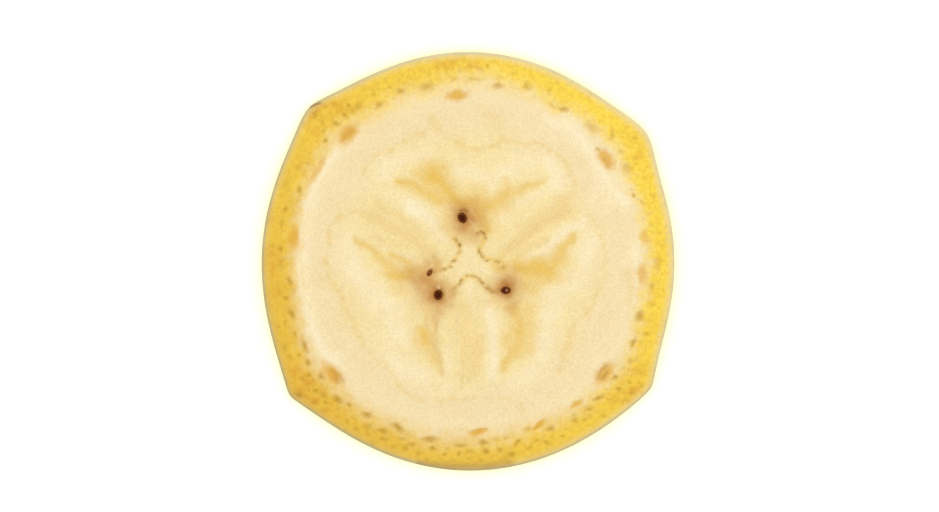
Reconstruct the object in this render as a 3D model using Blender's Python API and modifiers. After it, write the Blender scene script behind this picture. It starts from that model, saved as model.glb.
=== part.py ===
"""Cross-cut slice of a ripe banana with its peel on, lying on one cut face.

Metres, +Z up. Seen from above, +Y is the top of the slice. The origin is on the surface that the
slice lies on, under the middle of its box.
"""

import math

import bpy
from mathutils import Vector
from mathutils.geometry import intersect_point_line

# Slice
SLICE_THICKNESS = 0.0100
KNIFE_LEAN = Vector((-0.00014, -0.00010))  # shift of the lower cut face against the upper one
PIECE_GAP = 0.0003

# Peel: a round skin drawn out into ridges, seen as corners in the cut
SKIN_RADIUS = 0.01801
SKIN_OVAL = 0.00013  # how much the skin is longer along Y than along X
SKIN_SWELL = 0.00012  # bulge of the skin between the two cut faces
SKIN_EDGE_ROUND = 0.00022
PEEL_EDGE_ROUND = 0.00012
# Each ridge: direction in degrees, height, spread before and after it in degrees, blunt tip in degrees
RIDGES = (
    (35.8, 0.00108, 4.9, 6.8, 6.4),
    (136.2, 0.00121, 7.9, 9.1, 3.4),
    (217.1, 0.00145, 11.4, 12.0, 1.2),
    (325.0, 0.00137, 17.8, 7.9, 1.9),
)

# Strands: the cut ends of the vessels that run along the inside of the peel, shrunk under the cut face
STRAND_DEPTH = 0.00016
# Each strand: place, half length, half width, direction in degrees
STRANDS = (
    ((-0.0008, 0.0149), 0.00078, 0.00045, 0.0),
    ((-0.0104, 0.0113), 0.00090, 0.00052, 40.0),
    ((0.0123, 0.0092), 0.00092, 0.00050, -55.0),
    ((0.0154, 0.0020), 0.00065, 0.00035, 95.0),
    ((0.0152, -0.0012), 0.00082, 0.00047, 80.0),
    ((0.0119, -0.0095), 0.00096, 0.00052, 55.0),
    ((0.0058, -0.0144), 0.00087, 0.00032, 28.0),
    ((0.0009, -0.0152), 0.00074, 0.00032, 8.0),
    ((-0.0063, -0.0145), 0.00060, 0.00035, -35.0),
    ((-0.0114, -0.0099), 0.00093, 0.00053, -52.0),
    ((-0.0142, -0.0075), 0.00061, 0.00031, -66.0),
    ((-0.0150, 0.0020), 0.00074, 0.00040, 88.0),
)

# Flesh: round, a little flat on the side where the peel is thickest
FLESH_RADIUS = 0.01445
FLESH_FLAT_DEPTH = 0.00045
FLESH_FLAT_AT = 97.0
FLESH_FLAT_SPREAD = 38.0
FLESH_EDGE_ROUND = 0.00018

# Core: the middle of the three seed chambers. Beyond HOLLOWS_REACH the cut face of the flesh is flat.
CORE = Vector((0.00021, -0.00040))
HOLLOWS_REACH = 0.0112
ARM_DEPTH = 0.00018
ARM_WIDTH = 0.00092
ARM_TIP_SHARE = 0.75  # width of an arm's hollow at its tip, against its root
# Each arm is a soft hollow from a seed chamber outwards: root, bend and tip
ARMS = (
    ((-0.0007, 0.0043), (-0.0030, 0.0064), (-0.0061, 0.0070)),
    ((0.0007, 0.0045), (0.0028, 0.0058), (0.0065, 0.0068)),
    ((0.0040, -0.0016), (0.0075, -0.0008), (0.0090, 0.0016)),
    ((0.0036, -0.0035), (0.0052, -0.0066), (0.0033, -0.0092)),
    ((-0.0028, -0.0038), (-0.0044, -0.0069), (-0.0023, -0.0099)),
    ((-0.0039, -0.0016), (-0.0066, 0.0000), (-0.0096, 0.0018)),
)
ARM_STEPS = 8

# Undeveloped seeds, on each cut face: place, half length, half width, direction in degrees
SEED_HALF_HEIGHT = 0.00026
SEED_SINK = 0.00003  # how far the top of a seed lies under the cut face
SEED_GAP = 0.00015  # between a seed and its pit, at the sides and below
TOP_SEEDS = (
    ((-0.00052, 0.00371), 0.00044, 0.00036, 115.0),
    ((-0.00263, -0.00298), 0.00043, 0.00037, 80.0),
    ((-0.00337, -0.00105), 0.00028, 0.00019, 55.0),
    ((0.00323, -0.00257), 0.00040, 0.00031, 5.0),
)
BOTTOM_SEEDS = (
    ((0.00060, 0.00360), 0.00042, 0.00034, 70.0),
    ((-0.00330, -0.00205), 0.00040, 0.00035, 30.0),
    ((0.00300, -0.00310), 0.00044, 0.00033, 150.0),
)

# Mesh fineness
SKIN_STEPS = 132
FLESH_STEPS = 100
FLESH_RINGS = 22
WALL_STEPS = 6
ROUND_STEPS = 2
SEED_SEGMENTS = 12
SEED_RINGS = 6
PIT_SIDES = 14
STRAND_SEGMENTS = 12
STRAND_RINGS = 6
SMOOTH_ANGLE = math.radians(35)
MERGE = 0.000001

# Finishes: linear colour, roughness
PEEL_FINISH = ((0.83, 0.55, 0.07), 0.50)
FLESH_FINISH = ((0.92, 0.76, 0.44), 0.45)
SEED_FINISH = ((0.05, 0.014, 0.006), 0.35)


def clear_scene():
    for obj in list(bpy.data.objects):
        bpy.data.objects.remove(obj)


def new_collection(name):
    collection = bpy.data.collections.new(name)
    bpy.context.scene.collection.children.link(collection)
    return collection


def new_material(name, finish):
    colour, roughness = finish
    material = bpy.data.materials.new(name)
    material.use_nodes = True
    shader = material.node_tree.nodes["Principled BSDF"]
    shader.inputs["Base Color"].default_value = (*colour, 1.0)
    shader.inputs["Roughness"].default_value = roughness
    shader.inputs["Metallic"].default_value = 0.0
    return material


def angle_between(degrees, centre):
    """Signed angle from centre to degrees, the short way round."""
    return (degrees - centre + 180.0) % 360.0 - 180.0


def skin_radius(degrees):
    """Distance from the slice's middle to the skin, at the cut faces."""
    radius = SKIN_RADIUS - SKIN_OVAL * math.cos(math.radians(2.0 * degrees))
    for at, height, before, after, tip in RIDGES:
        turn = angle_between(degrees, at)
        spread = before if turn < 0.0 else after
        radius += height * math.exp((tip - math.hypot(turn, tip)) / spread)
    return radius


def flesh_radius(degrees):
    """Distance from the slice's middle to the line where the peel meets the flesh."""
    turn = angle_between(degrees, FLESH_FLAT_AT) / FLESH_FLAT_SPREAD
    return FLESH_RADIUS - FLESH_FLAT_DEPTH * math.exp(-turn * turn)


def lean(z):
    """How far the section at height z is shifted sideways."""
    return KNIFE_LEAN * (1.0 - z / SLICE_THICKNESS)


def round_corner(centre, radius, start):
    """Points of a quarter turn, clockwise from the direction start in degrees."""
    turns = (math.radians(start - 90.0 * step / ROUND_STEPS) for step in range(ROUND_STEPS + 1))
    return [(centre[0] + radius * math.cos(a), centre[1] + radius * math.sin(a)) for a in turns]


def bent_line(root, bend, tip):
    """Points of a curve from root to tip that leans towards bend."""
    points = []
    for step in range(ARM_STEPS + 1):
        t = step / ARM_STEPS
        weights = ((1.0 - t) ** 2, 2.0 * t * (1.0 - t), t * t)
        x, y = (sum(w * p[axis] for w, p in zip(weights, (root, bend, tip))) for axis in (0, 1))
        points.append(Vector((x, y, 0.0)))
    return points


def groove(point, line):
    """Depth at point of an arm's soft hollow, which narrows from its root to its tip."""
    deepest = 0.0
    for step in range(ARM_STEPS):
        _, share = intersect_point_line(point, line[step], line[step + 1])
        share = min(max(share, 0.0), 1.0)
        nearest = line[step].lerp(line[step + 1], share)
        along = (step + share) / ARM_STEPS
        reach = ARM_WIDTH * (1.0 + (ARM_TIP_SHARE - 1.0) * along)
        deepest = max(deepest, ARM_DEPTH * math.exp(-((point - nearest).length / reach) ** 2))
    return deepest


ARM_LINES = [bent_line(*arm) for arm in ARMS]


def hollow(x, y):
    """How far the cut face lies under the knife's plane, at a place on the slice."""
    depth = max(groove(Vector((x, y, 0.0)), line) for line in ARM_LINES)
    return depth if depth > 0.02 * ARM_DEPTH else 0.0


def turned(name, profile, closed, steps, collection):
    """The solid that the profile sweeps round the Z axis, as a mesh object."""
    mesh = bpy.data.meshes.new(name)
    edges = [(i, i + 1) for i in range(len(profile) - 1)]
    if closed:
        edges.append((len(profile) - 1, 0))
    mesh.from_pydata([(r, 0.0, z) for r, z in profile], edges, [])
    obj = bpy.data.objects.new(name, mesh)
    collection.objects.link(obj)
    screw = obj.modifiers.new("turn", "SCREW")
    screw.steps = steps
    screw.render_steps = steps
    screw.use_merge_vertices = True
    screw.merge_threshold = MERGE
    graph = bpy.context.evaluated_depsgraph_get()
    obj.data = bpy.data.meshes.new_from_object(obj.evaluated_get(graph))
    obj.modifiers.clear()
    bpy.data.meshes.remove(mesh)
    return obj


def reshape(obj, place):
    """Moves every point of the mesh to where place says."""
    for vertex in obj.data.vertices:
        vertex.co = place(vertex.co)


def finish(obj, material):
    obj.data.materials.clear()
    obj.data.materials.append(material)
    obj.data.shade_smooth()
    obj.data.set_sharp_from_angle(angle=SMOOTH_ANGLE)


def peel_profile():
    """Section of the peel: across the upper cut face, down the skin, back under it and up the inside."""
    inner, outer = FLESH_RADIUS, SKIN_RADIUS
    top = SLICE_THICKNESS
    skin, inside = SKIN_EDGE_ROUND, PEEL_EDGE_ROUND
    points = round_corner((inner + inside, top - inside), inside, 180.0)
    points += round_corner((outer - skin, top - skin), skin, 90.0)
    points += [(outer, top - skin - (top - 2.0 * skin) * i / WALL_STEPS) for i in range(1, WALL_STEPS)]
    points += round_corner((outer - skin, skin), skin, 0.0)
    points += round_corner((inner + inside, inside), inside, -90.0)
    return points


def place_peel(co):
    """A point of the round ring, moved out to the ridged skin and in to the flesh."""
    degrees = math.degrees(math.atan2(co.y, co.x))
    share = (math.hypot(co.x, co.y) - FLESH_RADIUS) / (SKIN_RADIUS - FLESH_RADIUS)
    height = co.z / SLICE_THICKNESS
    skin = skin_radius(degrees) + SKIN_SWELL * 4.0 * height * (1.0 - height)
    inside = flesh_radius(degrees) + PIECE_GAP
    radius = inside + share * (skin - inside)
    turn = math.radians(degrees)
    shift = lean(co.z)
    return Vector((radius * math.cos(turn) + shift.x, radius * math.sin(turn) + shift.y, co.z))


def flesh_profile():
    """Section of the flesh, from the middle of its upper face, down its side, to the middle below."""
    top = SLICE_THICKNESS
    edge = FLESH_EDGE_ROUND
    reach = FLESH_RADIUS - edge
    distances = [HOLLOWS_REACH * i / FLESH_RINGS for i in range(FLESH_RINGS + 1)]
    points = [(distance, top) for distance in distances]
    points += round_corner((reach, top - edge), edge, 90.0)
    points += round_corner((reach, edge), edge, 0.0)
    points += [(distance, 0.0) for distance in reversed(distances)]
    return points


def place_flesh(co):
    """A point of the round disc, moved out to the peel and sunk where the cut face is hollow."""
    degrees = math.degrees(math.atan2(co.y, co.x))
    share = math.hypot(co.x, co.y) / FLESH_RADIUS
    turn = math.radians(degrees)
    rim = Vector((math.cos(turn), math.sin(turn))) * flesh_radius(degrees)
    spot = CORE.lerp(rim, share)
    z = co.z
    if z > SLICE_THICKNESS - MERGE:
        z -= hollow(spot.x, spot.y)
    elif z < MERGE:
        z += hollow(spot.x, spot.y)
    shift = lean(co.z)
    return Vector((spot.x + shift.x, spot.y + shift.y, z))


def depth_in_slice(depth, on_top):
    """Height of what lies this deep under the upper or the lower cut face."""
    return SLICE_THICKNESS - depth if on_top else depth


def adopt(name, size, collection):
    """Names the new primitive, gives it its half sizes for good and moves it to its collection."""
    obj = bpy.context.object
    obj.name = name
    obj.scale = size
    bpy.ops.object.transform_apply(location=False, rotation=False, scale=True)
    for home in list(obj.users_collection):
        home.objects.unlink(obj)
    collection.objects.link(obj)
    return obj


def as_cutter(obj):
    obj.display_type = "WIRE"
    obj.hide_render = True


def make_seed(name, seed, on_top, collection, material):
    (x, y), half_length, half_width, degrees = seed
    z = depth_in_slice(SEED_SINK + SEED_HALF_HEIGHT + hollow(x, y), on_top)
    shift = lean(z)
    bpy.ops.mesh.primitive_uv_sphere_add(
        segments=SEED_SEGMENTS,
        ring_count=SEED_RINGS,
        radius=1.0,
        location=(x + shift.x, y + shift.y, z),
        rotation=(0.0, 0.0, math.radians(degrees)),
    )
    finish(adopt(name, (half_length, half_width, SEED_HALF_HEIGHT), collection), material)


def make_pit(name, seed, on_top, collection):
    """Cutter for the small pit that a seed lies in."""
    (x, y), half_length, half_width, degrees = seed
    face = depth_in_slice(0.0, on_top)
    shift = lean(face)
    depth = hollow(x, y) + SEED_SINK + 2.0 * SEED_HALF_HEIGHT + SEED_GAP
    bpy.ops.mesh.primitive_cylinder_add(
        vertices=PIT_SIDES,
        radius=1.0,
        depth=2.0 * depth,
        location=(x + shift.x, y + shift.y, face),
        rotation=(0.0, 0.0, math.radians(degrees)),
    )
    as_cutter(adopt(name, (half_length + SEED_GAP, half_width + SEED_GAP, 1.0), collection))


def make_strand_end(name, strand, on_top, collection):
    """Cutter for the shallow hollow where a strand's cut end has shrunk back."""
    (x, y), half_length, half_width, degrees = strand
    face = depth_in_slice(0.0, on_top)
    shift = lean(face)
    bpy.ops.mesh.primitive_uv_sphere_add(
        segments=STRAND_SEGMENTS,
        ring_count=STRAND_RINGS,
        radius=1.0,
        location=(x + shift.x, y + shift.y, face),
        rotation=(0.0, 0.0, math.radians(degrees)),
    )
    as_cutter(adopt(name, (half_length, half_width, STRAND_DEPTH), collection))


def cut_away(obj, cutters):
    """Takes every cutter of the collection out of the object."""
    cut = obj.modifiers.new(cutters.name, "BOOLEAN")
    cut.operation = "DIFFERENCE"
    cut.operand_type = "COLLECTION"
    cut.collection = cutters
    cut.solver = "EXACT"


def centre_slice(objects, outline):
    """Moves everything so that the outline's box has its middle over the origin."""
    corners = [outline.matrix_world @ vertex.co for vertex in outline.data.vertices]
    middle_x = (min(c.x for c in corners) + max(c.x for c in corners)) / 2.0
    middle_y = (min(c.y for c in corners) + max(c.y for c in corners)) / 2.0
    for obj in objects:
        obj.location.x -= middle_x
        obj.location.y -= middle_y


def build_slice():
    clear_scene()
    parts = new_collection("banana_slice")
    pits = new_collection("seed_pits")
    strand_ends = new_collection("strand_ends")

    peel = turned("peel", peel_profile(), True, SKIN_STEPS, parts)
    reshape(peel, place_peel)
    finish(peel, new_material("ripe_peel", PEEL_FINISH))

    flesh = turned("flesh", flesh_profile(), False, FLESH_STEPS, parts)
    reshape(flesh, place_flesh)
    finish(flesh, new_material("ripe_flesh", FLESH_FINISH))

    seed_material = new_material("undeveloped_seed", SEED_FINISH)
    for face, seeds, on_top in (("top", TOP_SEEDS, True), ("bottom", BOTTOM_SEEDS, False)):
        for number, seed in enumerate(seeds, start=1):
            make_seed(f"seed_{face}_{number}", seed, on_top, parts, seed_material)
            make_pit(f"pit_{face}_{number}", seed, on_top, pits)
        for number, strand in enumerate(STRANDS, start=1):
            make_strand_end(f"strand_{face}_{number}", strand, on_top, strand_ends)
    cut_away(flesh, pits)
    cut_away(peel, strand_ends)

    centre_slice([*parts.objects, *pits.objects, *strand_ends.objects], peel)


build_slice()
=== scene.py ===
"""The look of a ripe banana slice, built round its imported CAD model.

The slice lies on one cut face. Its lengths are in metres, and the marks on its cut faces are placed
in millimetres from the middle of the upper face, with +Y towards the top of the slice.
"""

import math

import bpy
import numpy as np
from bpy.props import FloatProperty, FloatVectorProperty, PointerProperty
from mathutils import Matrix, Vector


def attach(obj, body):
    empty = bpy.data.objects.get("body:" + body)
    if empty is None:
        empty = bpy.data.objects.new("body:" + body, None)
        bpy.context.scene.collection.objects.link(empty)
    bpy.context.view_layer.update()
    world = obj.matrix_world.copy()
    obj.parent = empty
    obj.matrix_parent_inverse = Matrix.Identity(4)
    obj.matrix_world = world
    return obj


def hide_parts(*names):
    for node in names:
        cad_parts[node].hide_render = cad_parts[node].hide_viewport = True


bl_info = {
    "name": "Banana Slice",
    "version": (1, 0, 0),
    "blender": (4, 5, 0),
    "location": "3D Viewport > Sidebar > Banana Slice",
    "description": "Builds the peel, flesh and seeds of a banana slice and its studio stage",
    "category": "Object",
}

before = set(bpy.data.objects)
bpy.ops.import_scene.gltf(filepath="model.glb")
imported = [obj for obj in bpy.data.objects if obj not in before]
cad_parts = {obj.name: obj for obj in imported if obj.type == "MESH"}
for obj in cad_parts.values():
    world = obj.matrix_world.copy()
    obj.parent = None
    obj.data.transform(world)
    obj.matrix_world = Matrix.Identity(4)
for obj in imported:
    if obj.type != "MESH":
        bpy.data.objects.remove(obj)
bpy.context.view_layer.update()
MM = 0.001

# Section of the slice, as in the CAD model, in millimetres and degrees
THICKNESS = 10.0
# How far the lower face is shifted sideways from the upper one
LEAN = (-0.14, -0.10)
# The skin is slightly oval, swells between the cut faces and is rounded where it meets them
SKIN_RADIUS = 18.0
SKIN_OVAL = 0.13
SKIN_SWELL = 0.115
SKIN_ROUND = 0.20
# Each ridge: direction, height, spread before and after it, blunt tip
RIDGES = (
    (35.8, 1.08, 4.9, 6.8, 6.4),
    (136.2, 1.21, 7.9, 9.1, 3.4),
    (217.1, 1.45, 11.4, 12.0, 1.2),
    (325.0, 1.37, 17.8, 7.9, 1.9),
)
FLESH_RADIUS = 14.45
# Flat side of the flesh: direction, depth, spread
FLESH_FLAT = (97.0, 0.45, 38.0)
# How far outside the flesh radius the peel begins
SEAM = 0.15
# Middle of the flesh, where the seed chambers meet
CORE = (0.21, -0.40)
# Distances from the middle between which the flesh becomes firmer towards the peel
OUTER_FLESH = (9.5, 13.0)
# Middle that the places of the strands and brush strokes below are counted from
MARKS_MIDDLE = (-0.07, -0.04)

# Peel and flesh each end this far from the line where they meet, in millimetres
SEAM_GAP = 0.0005
# A point this near to a cut face belongs to it
FACE_REACH = 0.0005
# Steps right round in each turned piece
FLESH_STEPS = 600
PEEL_STEPS = 1080
TABLE_STEPS = 360

# Cells of the pulp. Real ones are about 0.1 mm across, and these are drawn coarser so that they show
CELL_SIZE = 0.16 * MM
# Soft mottling of flesh and peel
MOTTLE_SIZE = 2.0 * MM
# Blotches of the cut peel, and lines and freckles of its skin
BLOTCH_SIZE = 0.4 * MM
LINE_SPACING = 0.4 * MM
FRECKLE_SIZE = 0.6 * MM
# Wrinkles of a seed's coat
WRINKLE_SPACING = 0.12 * MM

# White table: radius, and how far the painted yellow glow next to the slice, which stands for light
# through the peel, stays full and then fades, in millimetres
TABLE_RADIUS = 600.0
TINT_FULL = 0.45
TINT_FADE = 0.4
# The camera looks straight down: where it aims, in millimetres from the middle of the upper face, how
# far above that face it is, in metres, and its focal length
CAMERA_AIM = (0.094, 0.414)
CAMERA_HEIGHT = 0.3396
CAMERA_LENS = 150.0
# Large soft light: place and width, in metres
KEY_PLACE = (0.17, 0.30, 0.49)
KEY_WIDTH = 0.35

# Numbers of a Mix node's sockets, some of which share a name: its share, the colours that it mixes and
# their result, and the heights that it mixes and their result
SHARE = 0
UNDER, OVER, MIXED = 6, 7, 2
UNDER_HEIGHT, OVER_HEIGHT, MIXED_HEIGHT = 2, 3, 0

# Direction of the lemon yellow side of the peel, which faces the key light: its lighter colour is
# partly riper peel and partly painted light, and the deeper yellow opposite is partly painted shade
LEMON_AND_LIT_SIDE = 40.0
# Where the yellow of the peel fades to cream: direction and distance from the middle
YELLOW_EDGE = (
    (0, 15.68), (8, 15.38), (16, 15.60), (24, 15.50), (31, 15.65), (37, 16.15), (42, 15.90),
    (54, 15.80), (60, 15.10), (67, 15.60), (76, 15.60), (84, 16.00), (92, 15.70), (103, 15.10),
    (111, 15.45), (120, 15.05), (127, 15.32), (136, 15.90), (146, 15.45), (160, 15.30),
    (172, 14.90), (180, 15.18), (187, 14.76), (197, 15.35), (206, 15.85), (214, 16.20),
    (222, 15.80), (229, 15.85), (237, 15.80), (247, 15.50), (257, 15.80), (270, 15.40),
    (280, 15.50), (292, 15.40), (301, 15.78), (308, 15.92), (314, 15.85), (319, 15.95),
    (325, 16.25), (332, 16.00), (342, 15.40), (350, 15.50),
)
# How gradually the yellow fades: direction, and distance from half way to its start and to its end
YELLOW_FADE = (
    (0, 1.1, 1.1), (45, 1.3, 1.0), (90, 1.5, 1.9), (135, 1.6, 1.9), (180, 1.3, 1.3),
    (225, 1.5, 1.4), (270, 1.8, 1.75), (315, 1.5, 1.2),
)
# How far the dark edge of the skin reaches inwards on the cut face: direction and distance. The edge is
# partly the skin's own greyish olive and partly painted shade standing for the shaded side wall seen
# edge-on
SKIN_EDGE = (
    (0, 0.32), (40, 0.32), (60, 0.34), (90, 0.42), (125, 0.46), (140, 0.44), (165, 0.42),
    (180, 0.42), (200, 0.42), (217, 0.40), (240, 0.44), (265, 0.42), (285, 0.40), (310, 0.42),
    (325, 0.36), (345, 0.30),
)

# How strongly the cut ends of the small and the large strands show, and the share of their width up
# to which they are evenly coloured
SMALL_STRENGTH, SMALL_EVEN = 0.85, 0.0
LARGE_STRENGTH, LARGE_EVEN = 0.9, 0.4
# Cut ends of the strands in the peel: place, half length, half width, direction, strength
STRANDS = (
    (-3.55, 15.15, 0.55, 0.35, 10, 0.70), (-1.20, 15.85, 0.28, 0.20, 0, 0.50),
    (-3.40, 16.20, 0.20, 0.16, 0, 0.35), (-5.00, 15.90, 0.22, 0.20, 0, 0.30),
    (-5.85, 14.75, 0.35, 0.22, 0, 0.80), (-6.80, 15.10, 0.17, 0.15, 0, 0.50),
    (-8.20, 14.50, 0.20, 0.20, 0, 0.45), (-7.70, 13.55, 0.38, 0.25, 45, 0.80),
    (-9.50, 13.45, 0.40, 0.25, 60, 0.65), (-10.00, 13.00, 0.28, 0.22, 0, 0.60),
    (-10.35, 13.50, 0.17, 0.17, 0, 0.80), (-10.70, 12.70, 0.34, 0.20, -50, 0.95),
    (-11.45, 11.95, 0.32, 0.20, -25, 0.85), (-11.60, 13.50, 0.20, 0.18, 0, 0.40),
    (-12.50, 13.50, 0.22, 0.18, 0, 0.40), (-13.30, 12.75, 0.28, 0.20, 90, 0.80),
    (-12.60, 12.00, 0.20, 0.15, 60, 0.40), (-12.50, 11.35, 0.20, 0.15, 45, 0.60),
    (-13.10, 11.10, 0.18, 0.14, 0, 0.30), (-12.35, 10.45, 0.18, 0.17, 0, 1.00),
    (-12.70, 8.70, 0.20, 0.17, 0, 0.30), (-13.85, 8.45, 0.17, 0.15, 0, 0.40),
    (-14.70, 8.15, 0.25, 0.20, 0, 0.40), (-14.60, 6.15, 0.40, 0.20, 90, 0.80),
    (-14.70, 5.20, 0.15, 0.13, 0, 0.35), (-15.80, 6.60, 0.45, 0.30, 80, 0.30),
    (-15.85, 4.45, 0.24, 0.16, 70, 0.75), (-16.15, 3.20, 0.50, 0.16, 85, 0.50),
    (-16.25, 1.05, 0.25, 0.17, 90, 0.80), (-16.20, -0.25, 0.50, 0.20, 90, 0.50),
    (-15.45, -1.75, 0.42, 0.18, -70, 0.90), (-15.20, -2.50, 0.25, 0.15, -70, 0.30),
    (-16.40, -2.50, 0.55, 0.18, -70, 0.40), (-15.80, -3.20, 0.20, 0.17, 0, 0.85),
    (-17.00, -3.90, 0.20, 0.15, 0, 0.40), (-15.30, -4.60, 0.48, 0.20, -58, 1.00),
    (-15.85, -5.35, 0.25, 0.15, -80, 0.60), (-16.50, -5.75, 0.20, 0.17, 0, 0.50),
    (-15.00, -6.40, 0.30, 0.15, -80, 0.70), (-14.35, -6.45, 0.15, 0.13, 0, 0.35),
    (-14.15, -7.40, 0.50, 0.22, -65, 1.00), (-15.90, -7.50, 0.27, 0.22, 90, 0.60),
    (-15.50, -8.35, 0.27, 0.20, -40, 0.60), (-14.67, -8.20, 0.18, 0.16, 0, 0.80),
    (-13.85, -8.80, 0.26, 0.20, -70, 1.00), (-14.35, -10.20, 0.17, 0.15, 0, 0.70),
    (-13.80, -9.95, 0.22, 0.18, 60, 0.90), (-13.40, -10.40, 0.18, 0.16, 0, 0.50),
    (-12.75, -10.00, 0.32, 0.26, -60, 1.00), (-12.70, -10.70, 0.13, 0.12, 0, 0.30),
    (-13.90, -10.70, 0.15, 0.13, 0, 0.60), (-13.80, -11.25, 0.11, 0.10, 0, 0.60),
    (-13.20, -11.25, 0.20, 0.16, 30, 0.90), (-14.60, -11.60, 0.32, 0.20, -20, 0.90),
    (-13.95, -11.80, 0.30, 0.18, -60, 0.60), (-12.50, -11.60, 0.27, 0.22, 20, 0.75),
    (-13.30, -12.30, 0.20, 0.16, 0, 0.70), (-12.35, -12.25, 0.32, 0.16, -40, 0.75),
    (-12.60, -12.90, 0.20, 0.15, 0, 0.35), (-11.30, -12.00, 0.48, 0.22, -28, 1.00),
    (-10.30, -12.45, 0.20, 0.19, 0, 1.00), (-11.20, -12.80, 0.20, 0.16, 0, 0.40),
    (-11.35, -13.50, 0.22, 0.17, 0, 0.50), (-10.45, -13.95, 0.22, 0.15, -40, 0.50),
    (-9.95, -13.65, 0.25, 0.12, -40, 0.35), (-9.65, -14.60, 0.25, 0.18, -60, 0.70),
    (-8.75, -13.35, 0.45, 0.24, -20, 1.00), (-8.70, -14.40, 0.35, 0.27, 0, 0.65),
    (-8.70, -15.00, 0.25, 0.20, 0, 0.55), (-8.20, -14.70, 0.20, 0.18, 0, 0.35),
    (-7.40, -14.75, 0.38, 0.18, -8, 0.95), (-7.30, -15.45, 0.30, 0.17, 0, 0.75),
    (-8.30, -15.75, 0.30, 0.20, 0, 0.35), (-6.05, -14.45, 0.62, 0.26, -38, 1.00),
    (-5.70, -15.45, 0.30, 0.15, -15, 0.65), (-6.45, -16.15, 0.24, 0.18, 0, 0.60),
    (-5.45, -16.30, 0.27, 0.24, 45, 0.75), (-4.85, -15.90, 0.30, 0.16, 0, 0.80),
    (-4.25, -16.70, 0.24, 0.17, 60, 0.60), (-3.30, -15.45, 0.55, 0.24, 0, 1.00),
    (-3.05, -16.30, 0.27, 0.20, 0, 1.00), (-3.60, -17.20, 0.18, 0.16, 0, 0.60),
    (-2.00, -16.80, 0.18, 0.15, 0, 0.80), (-1.80, -16.30, 0.22, 0.15, 0, 0.40),
    (-0.60, -16.00, 0.45, 0.17, 5, 0.85), (-0.80, -16.75, 0.18, 0.16, 0, 0.85),
    (-1.20, -17.30, 0.20, 0.15, 0, 0.50), (0.30, -16.55, 0.50, 0.15, -25, 0.50),
    (0.05, -17.15, 0.20, 0.15, 0, 0.60), (1.35, -15.75, 0.40, 0.22, 0, 1.00),
    (1.60, -16.55, 0.26, 0.20, 0, 1.00), (1.10, -17.30, 0.20, 0.15, 0, 0.50),
    (2.20, -16.90, 0.15, 0.12, 0, 0.40), (2.80, -16.40, 0.23, 0.17, 0, 0.90),
    (3.20, -17.05, 0.20, 0.14, 0, 0.50), (3.85, -16.80, 0.25, 0.20, 0, 0.95),
    (3.30, -15.40, 0.30, 0.15, 30, 0.50), (2.50, -15.50, 0.30, 0.14, 0, 0.35),
    (4.35, -15.70, 0.42, 0.15, 40, 0.85), (5.40, -16.20, 0.24, 0.16, 30, 0.65),
    (6.00, -15.60, 0.35, 0.18, 12, 0.55), (6.85, -15.75, 0.26, 0.15, -30, 0.75),
    (5.20, -14.60, 0.35, 0.17, 25, 0.55), (7.20, -14.55, 0.35, 0.20, 15, 0.90),
    (8.25, -15.25, 0.22, 0.12, -20, 0.55), (8.55, -14.60, 0.16, 0.14, 0, 0.35),
    (9.35, -13.85, 0.30, 0.20, 0, 0.75), (9.15, -13.45, 0.25, 0.20, 60, 0.35),
    (10.10, -13.80, 0.26, 0.12, 25, 0.70), (10.50, -12.90, 0.27, 0.14, 12, 0.70),
    (11.80, -13.40, 0.26, 0.18, 10, 0.55), (11.35, -11.90, 0.50, 0.17, 20, 0.95),
    (12.80, -10.10, 0.24, 0.20, 0, 1.00), (13.20, -10.15, 0.20, 0.12, 0, 0.35),
    (13.10, -11.15, 0.19, 0.17, 0, 1.00), (14.10, -10.55, 0.14, 0.13, 0, 0.80),
    (14.20, -11.50, 0.30, 0.15, -10, 0.55), (13.70, -12.00, 0.20, 0.15, 0, 0.35),
    (12.40, -12.10, 0.20, 0.15, 0, 0.25), (15.10, -10.90, 0.14, 0.13, 0, 0.40),
    (14.00, -9.40, 0.15, 0.13, 0, 0.35), (13.45, -9.30, 0.30, 0.18, 50, 0.35),
    (14.10, -8.65, 0.30, 0.18, 80, 0.55), (14.65, -8.45, 0.25, 0.12, 80, 0.50),
    (14.35, -7.10, 0.42, 0.19, 62, 1.00), (15.45, -6.35, 0.25, 0.19, 0, 0.65),
    (15.75, -5.15, 0.25, 0.20, 0, 0.25), (14.95, -4.75, 0.45, 0.30, 65, 0.85),
    (15.90, -3.70, 0.30, 0.25, 30, 0.45), (15.95, -2.20, 0.30, 0.20, 70, 0.55),
    (16.50, -0.10, 0.50, 0.30, 80, 0.35), (16.50, 1.60, 0.20, 0.15, 0, 0.35),
    (16.00, 3.10, 0.16, 0.14, 0, 0.35), (16.15, 5.60, 0.25, 0.15, 80, 0.35),
    (15.10, 5.10, 0.32, 0.12, -45, 0.50), (14.40, 5.70, 0.18, 0.16, 0, 0.85),
    (14.20, 6.20, 0.17, 0.14, 0, 0.35), (13.85, 8.05, 0.50, 0.40, -60, 0.50),
    (13.30, 9.50, 0.28, 0.20, -20, 0.40), (14.10, 9.90, 0.20, 0.17, 0, 0.30),
    (12.50, 10.90, 0.42, 0.18, 100, 0.50), (11.30, 9.70, 0.25, 0.15, -50, 0.75),
    (10.75, 11.60, 0.55, 0.34, -25, 0.55), (8.30, 13.15, 0.36, 0.22, 0, 0.90),
    (7.30, 13.50, 0.40, 0.16, -40, 0.45), (7.05, 14.80, 0.26, 0.20, -60, 0.50),
    (5.10, 15.15, 0.40, 0.28, 30, 0.65), (4.00, 16.30, 0.30, 0.25, 0, 0.30),
    (2.65, 15.20, 0.42, 0.25, 0, 0.85), (2.70, 15.90, 0.35, 0.20, 0, 0.30),
    (0.40, 15.75, 0.50, 0.20, 0, 0.50), (1.75, 16.95, 0.20, 0.17, 90, 0.55),
    (1.15, 16.70, 0.15, 0.13, 0, 0.35),
)
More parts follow.
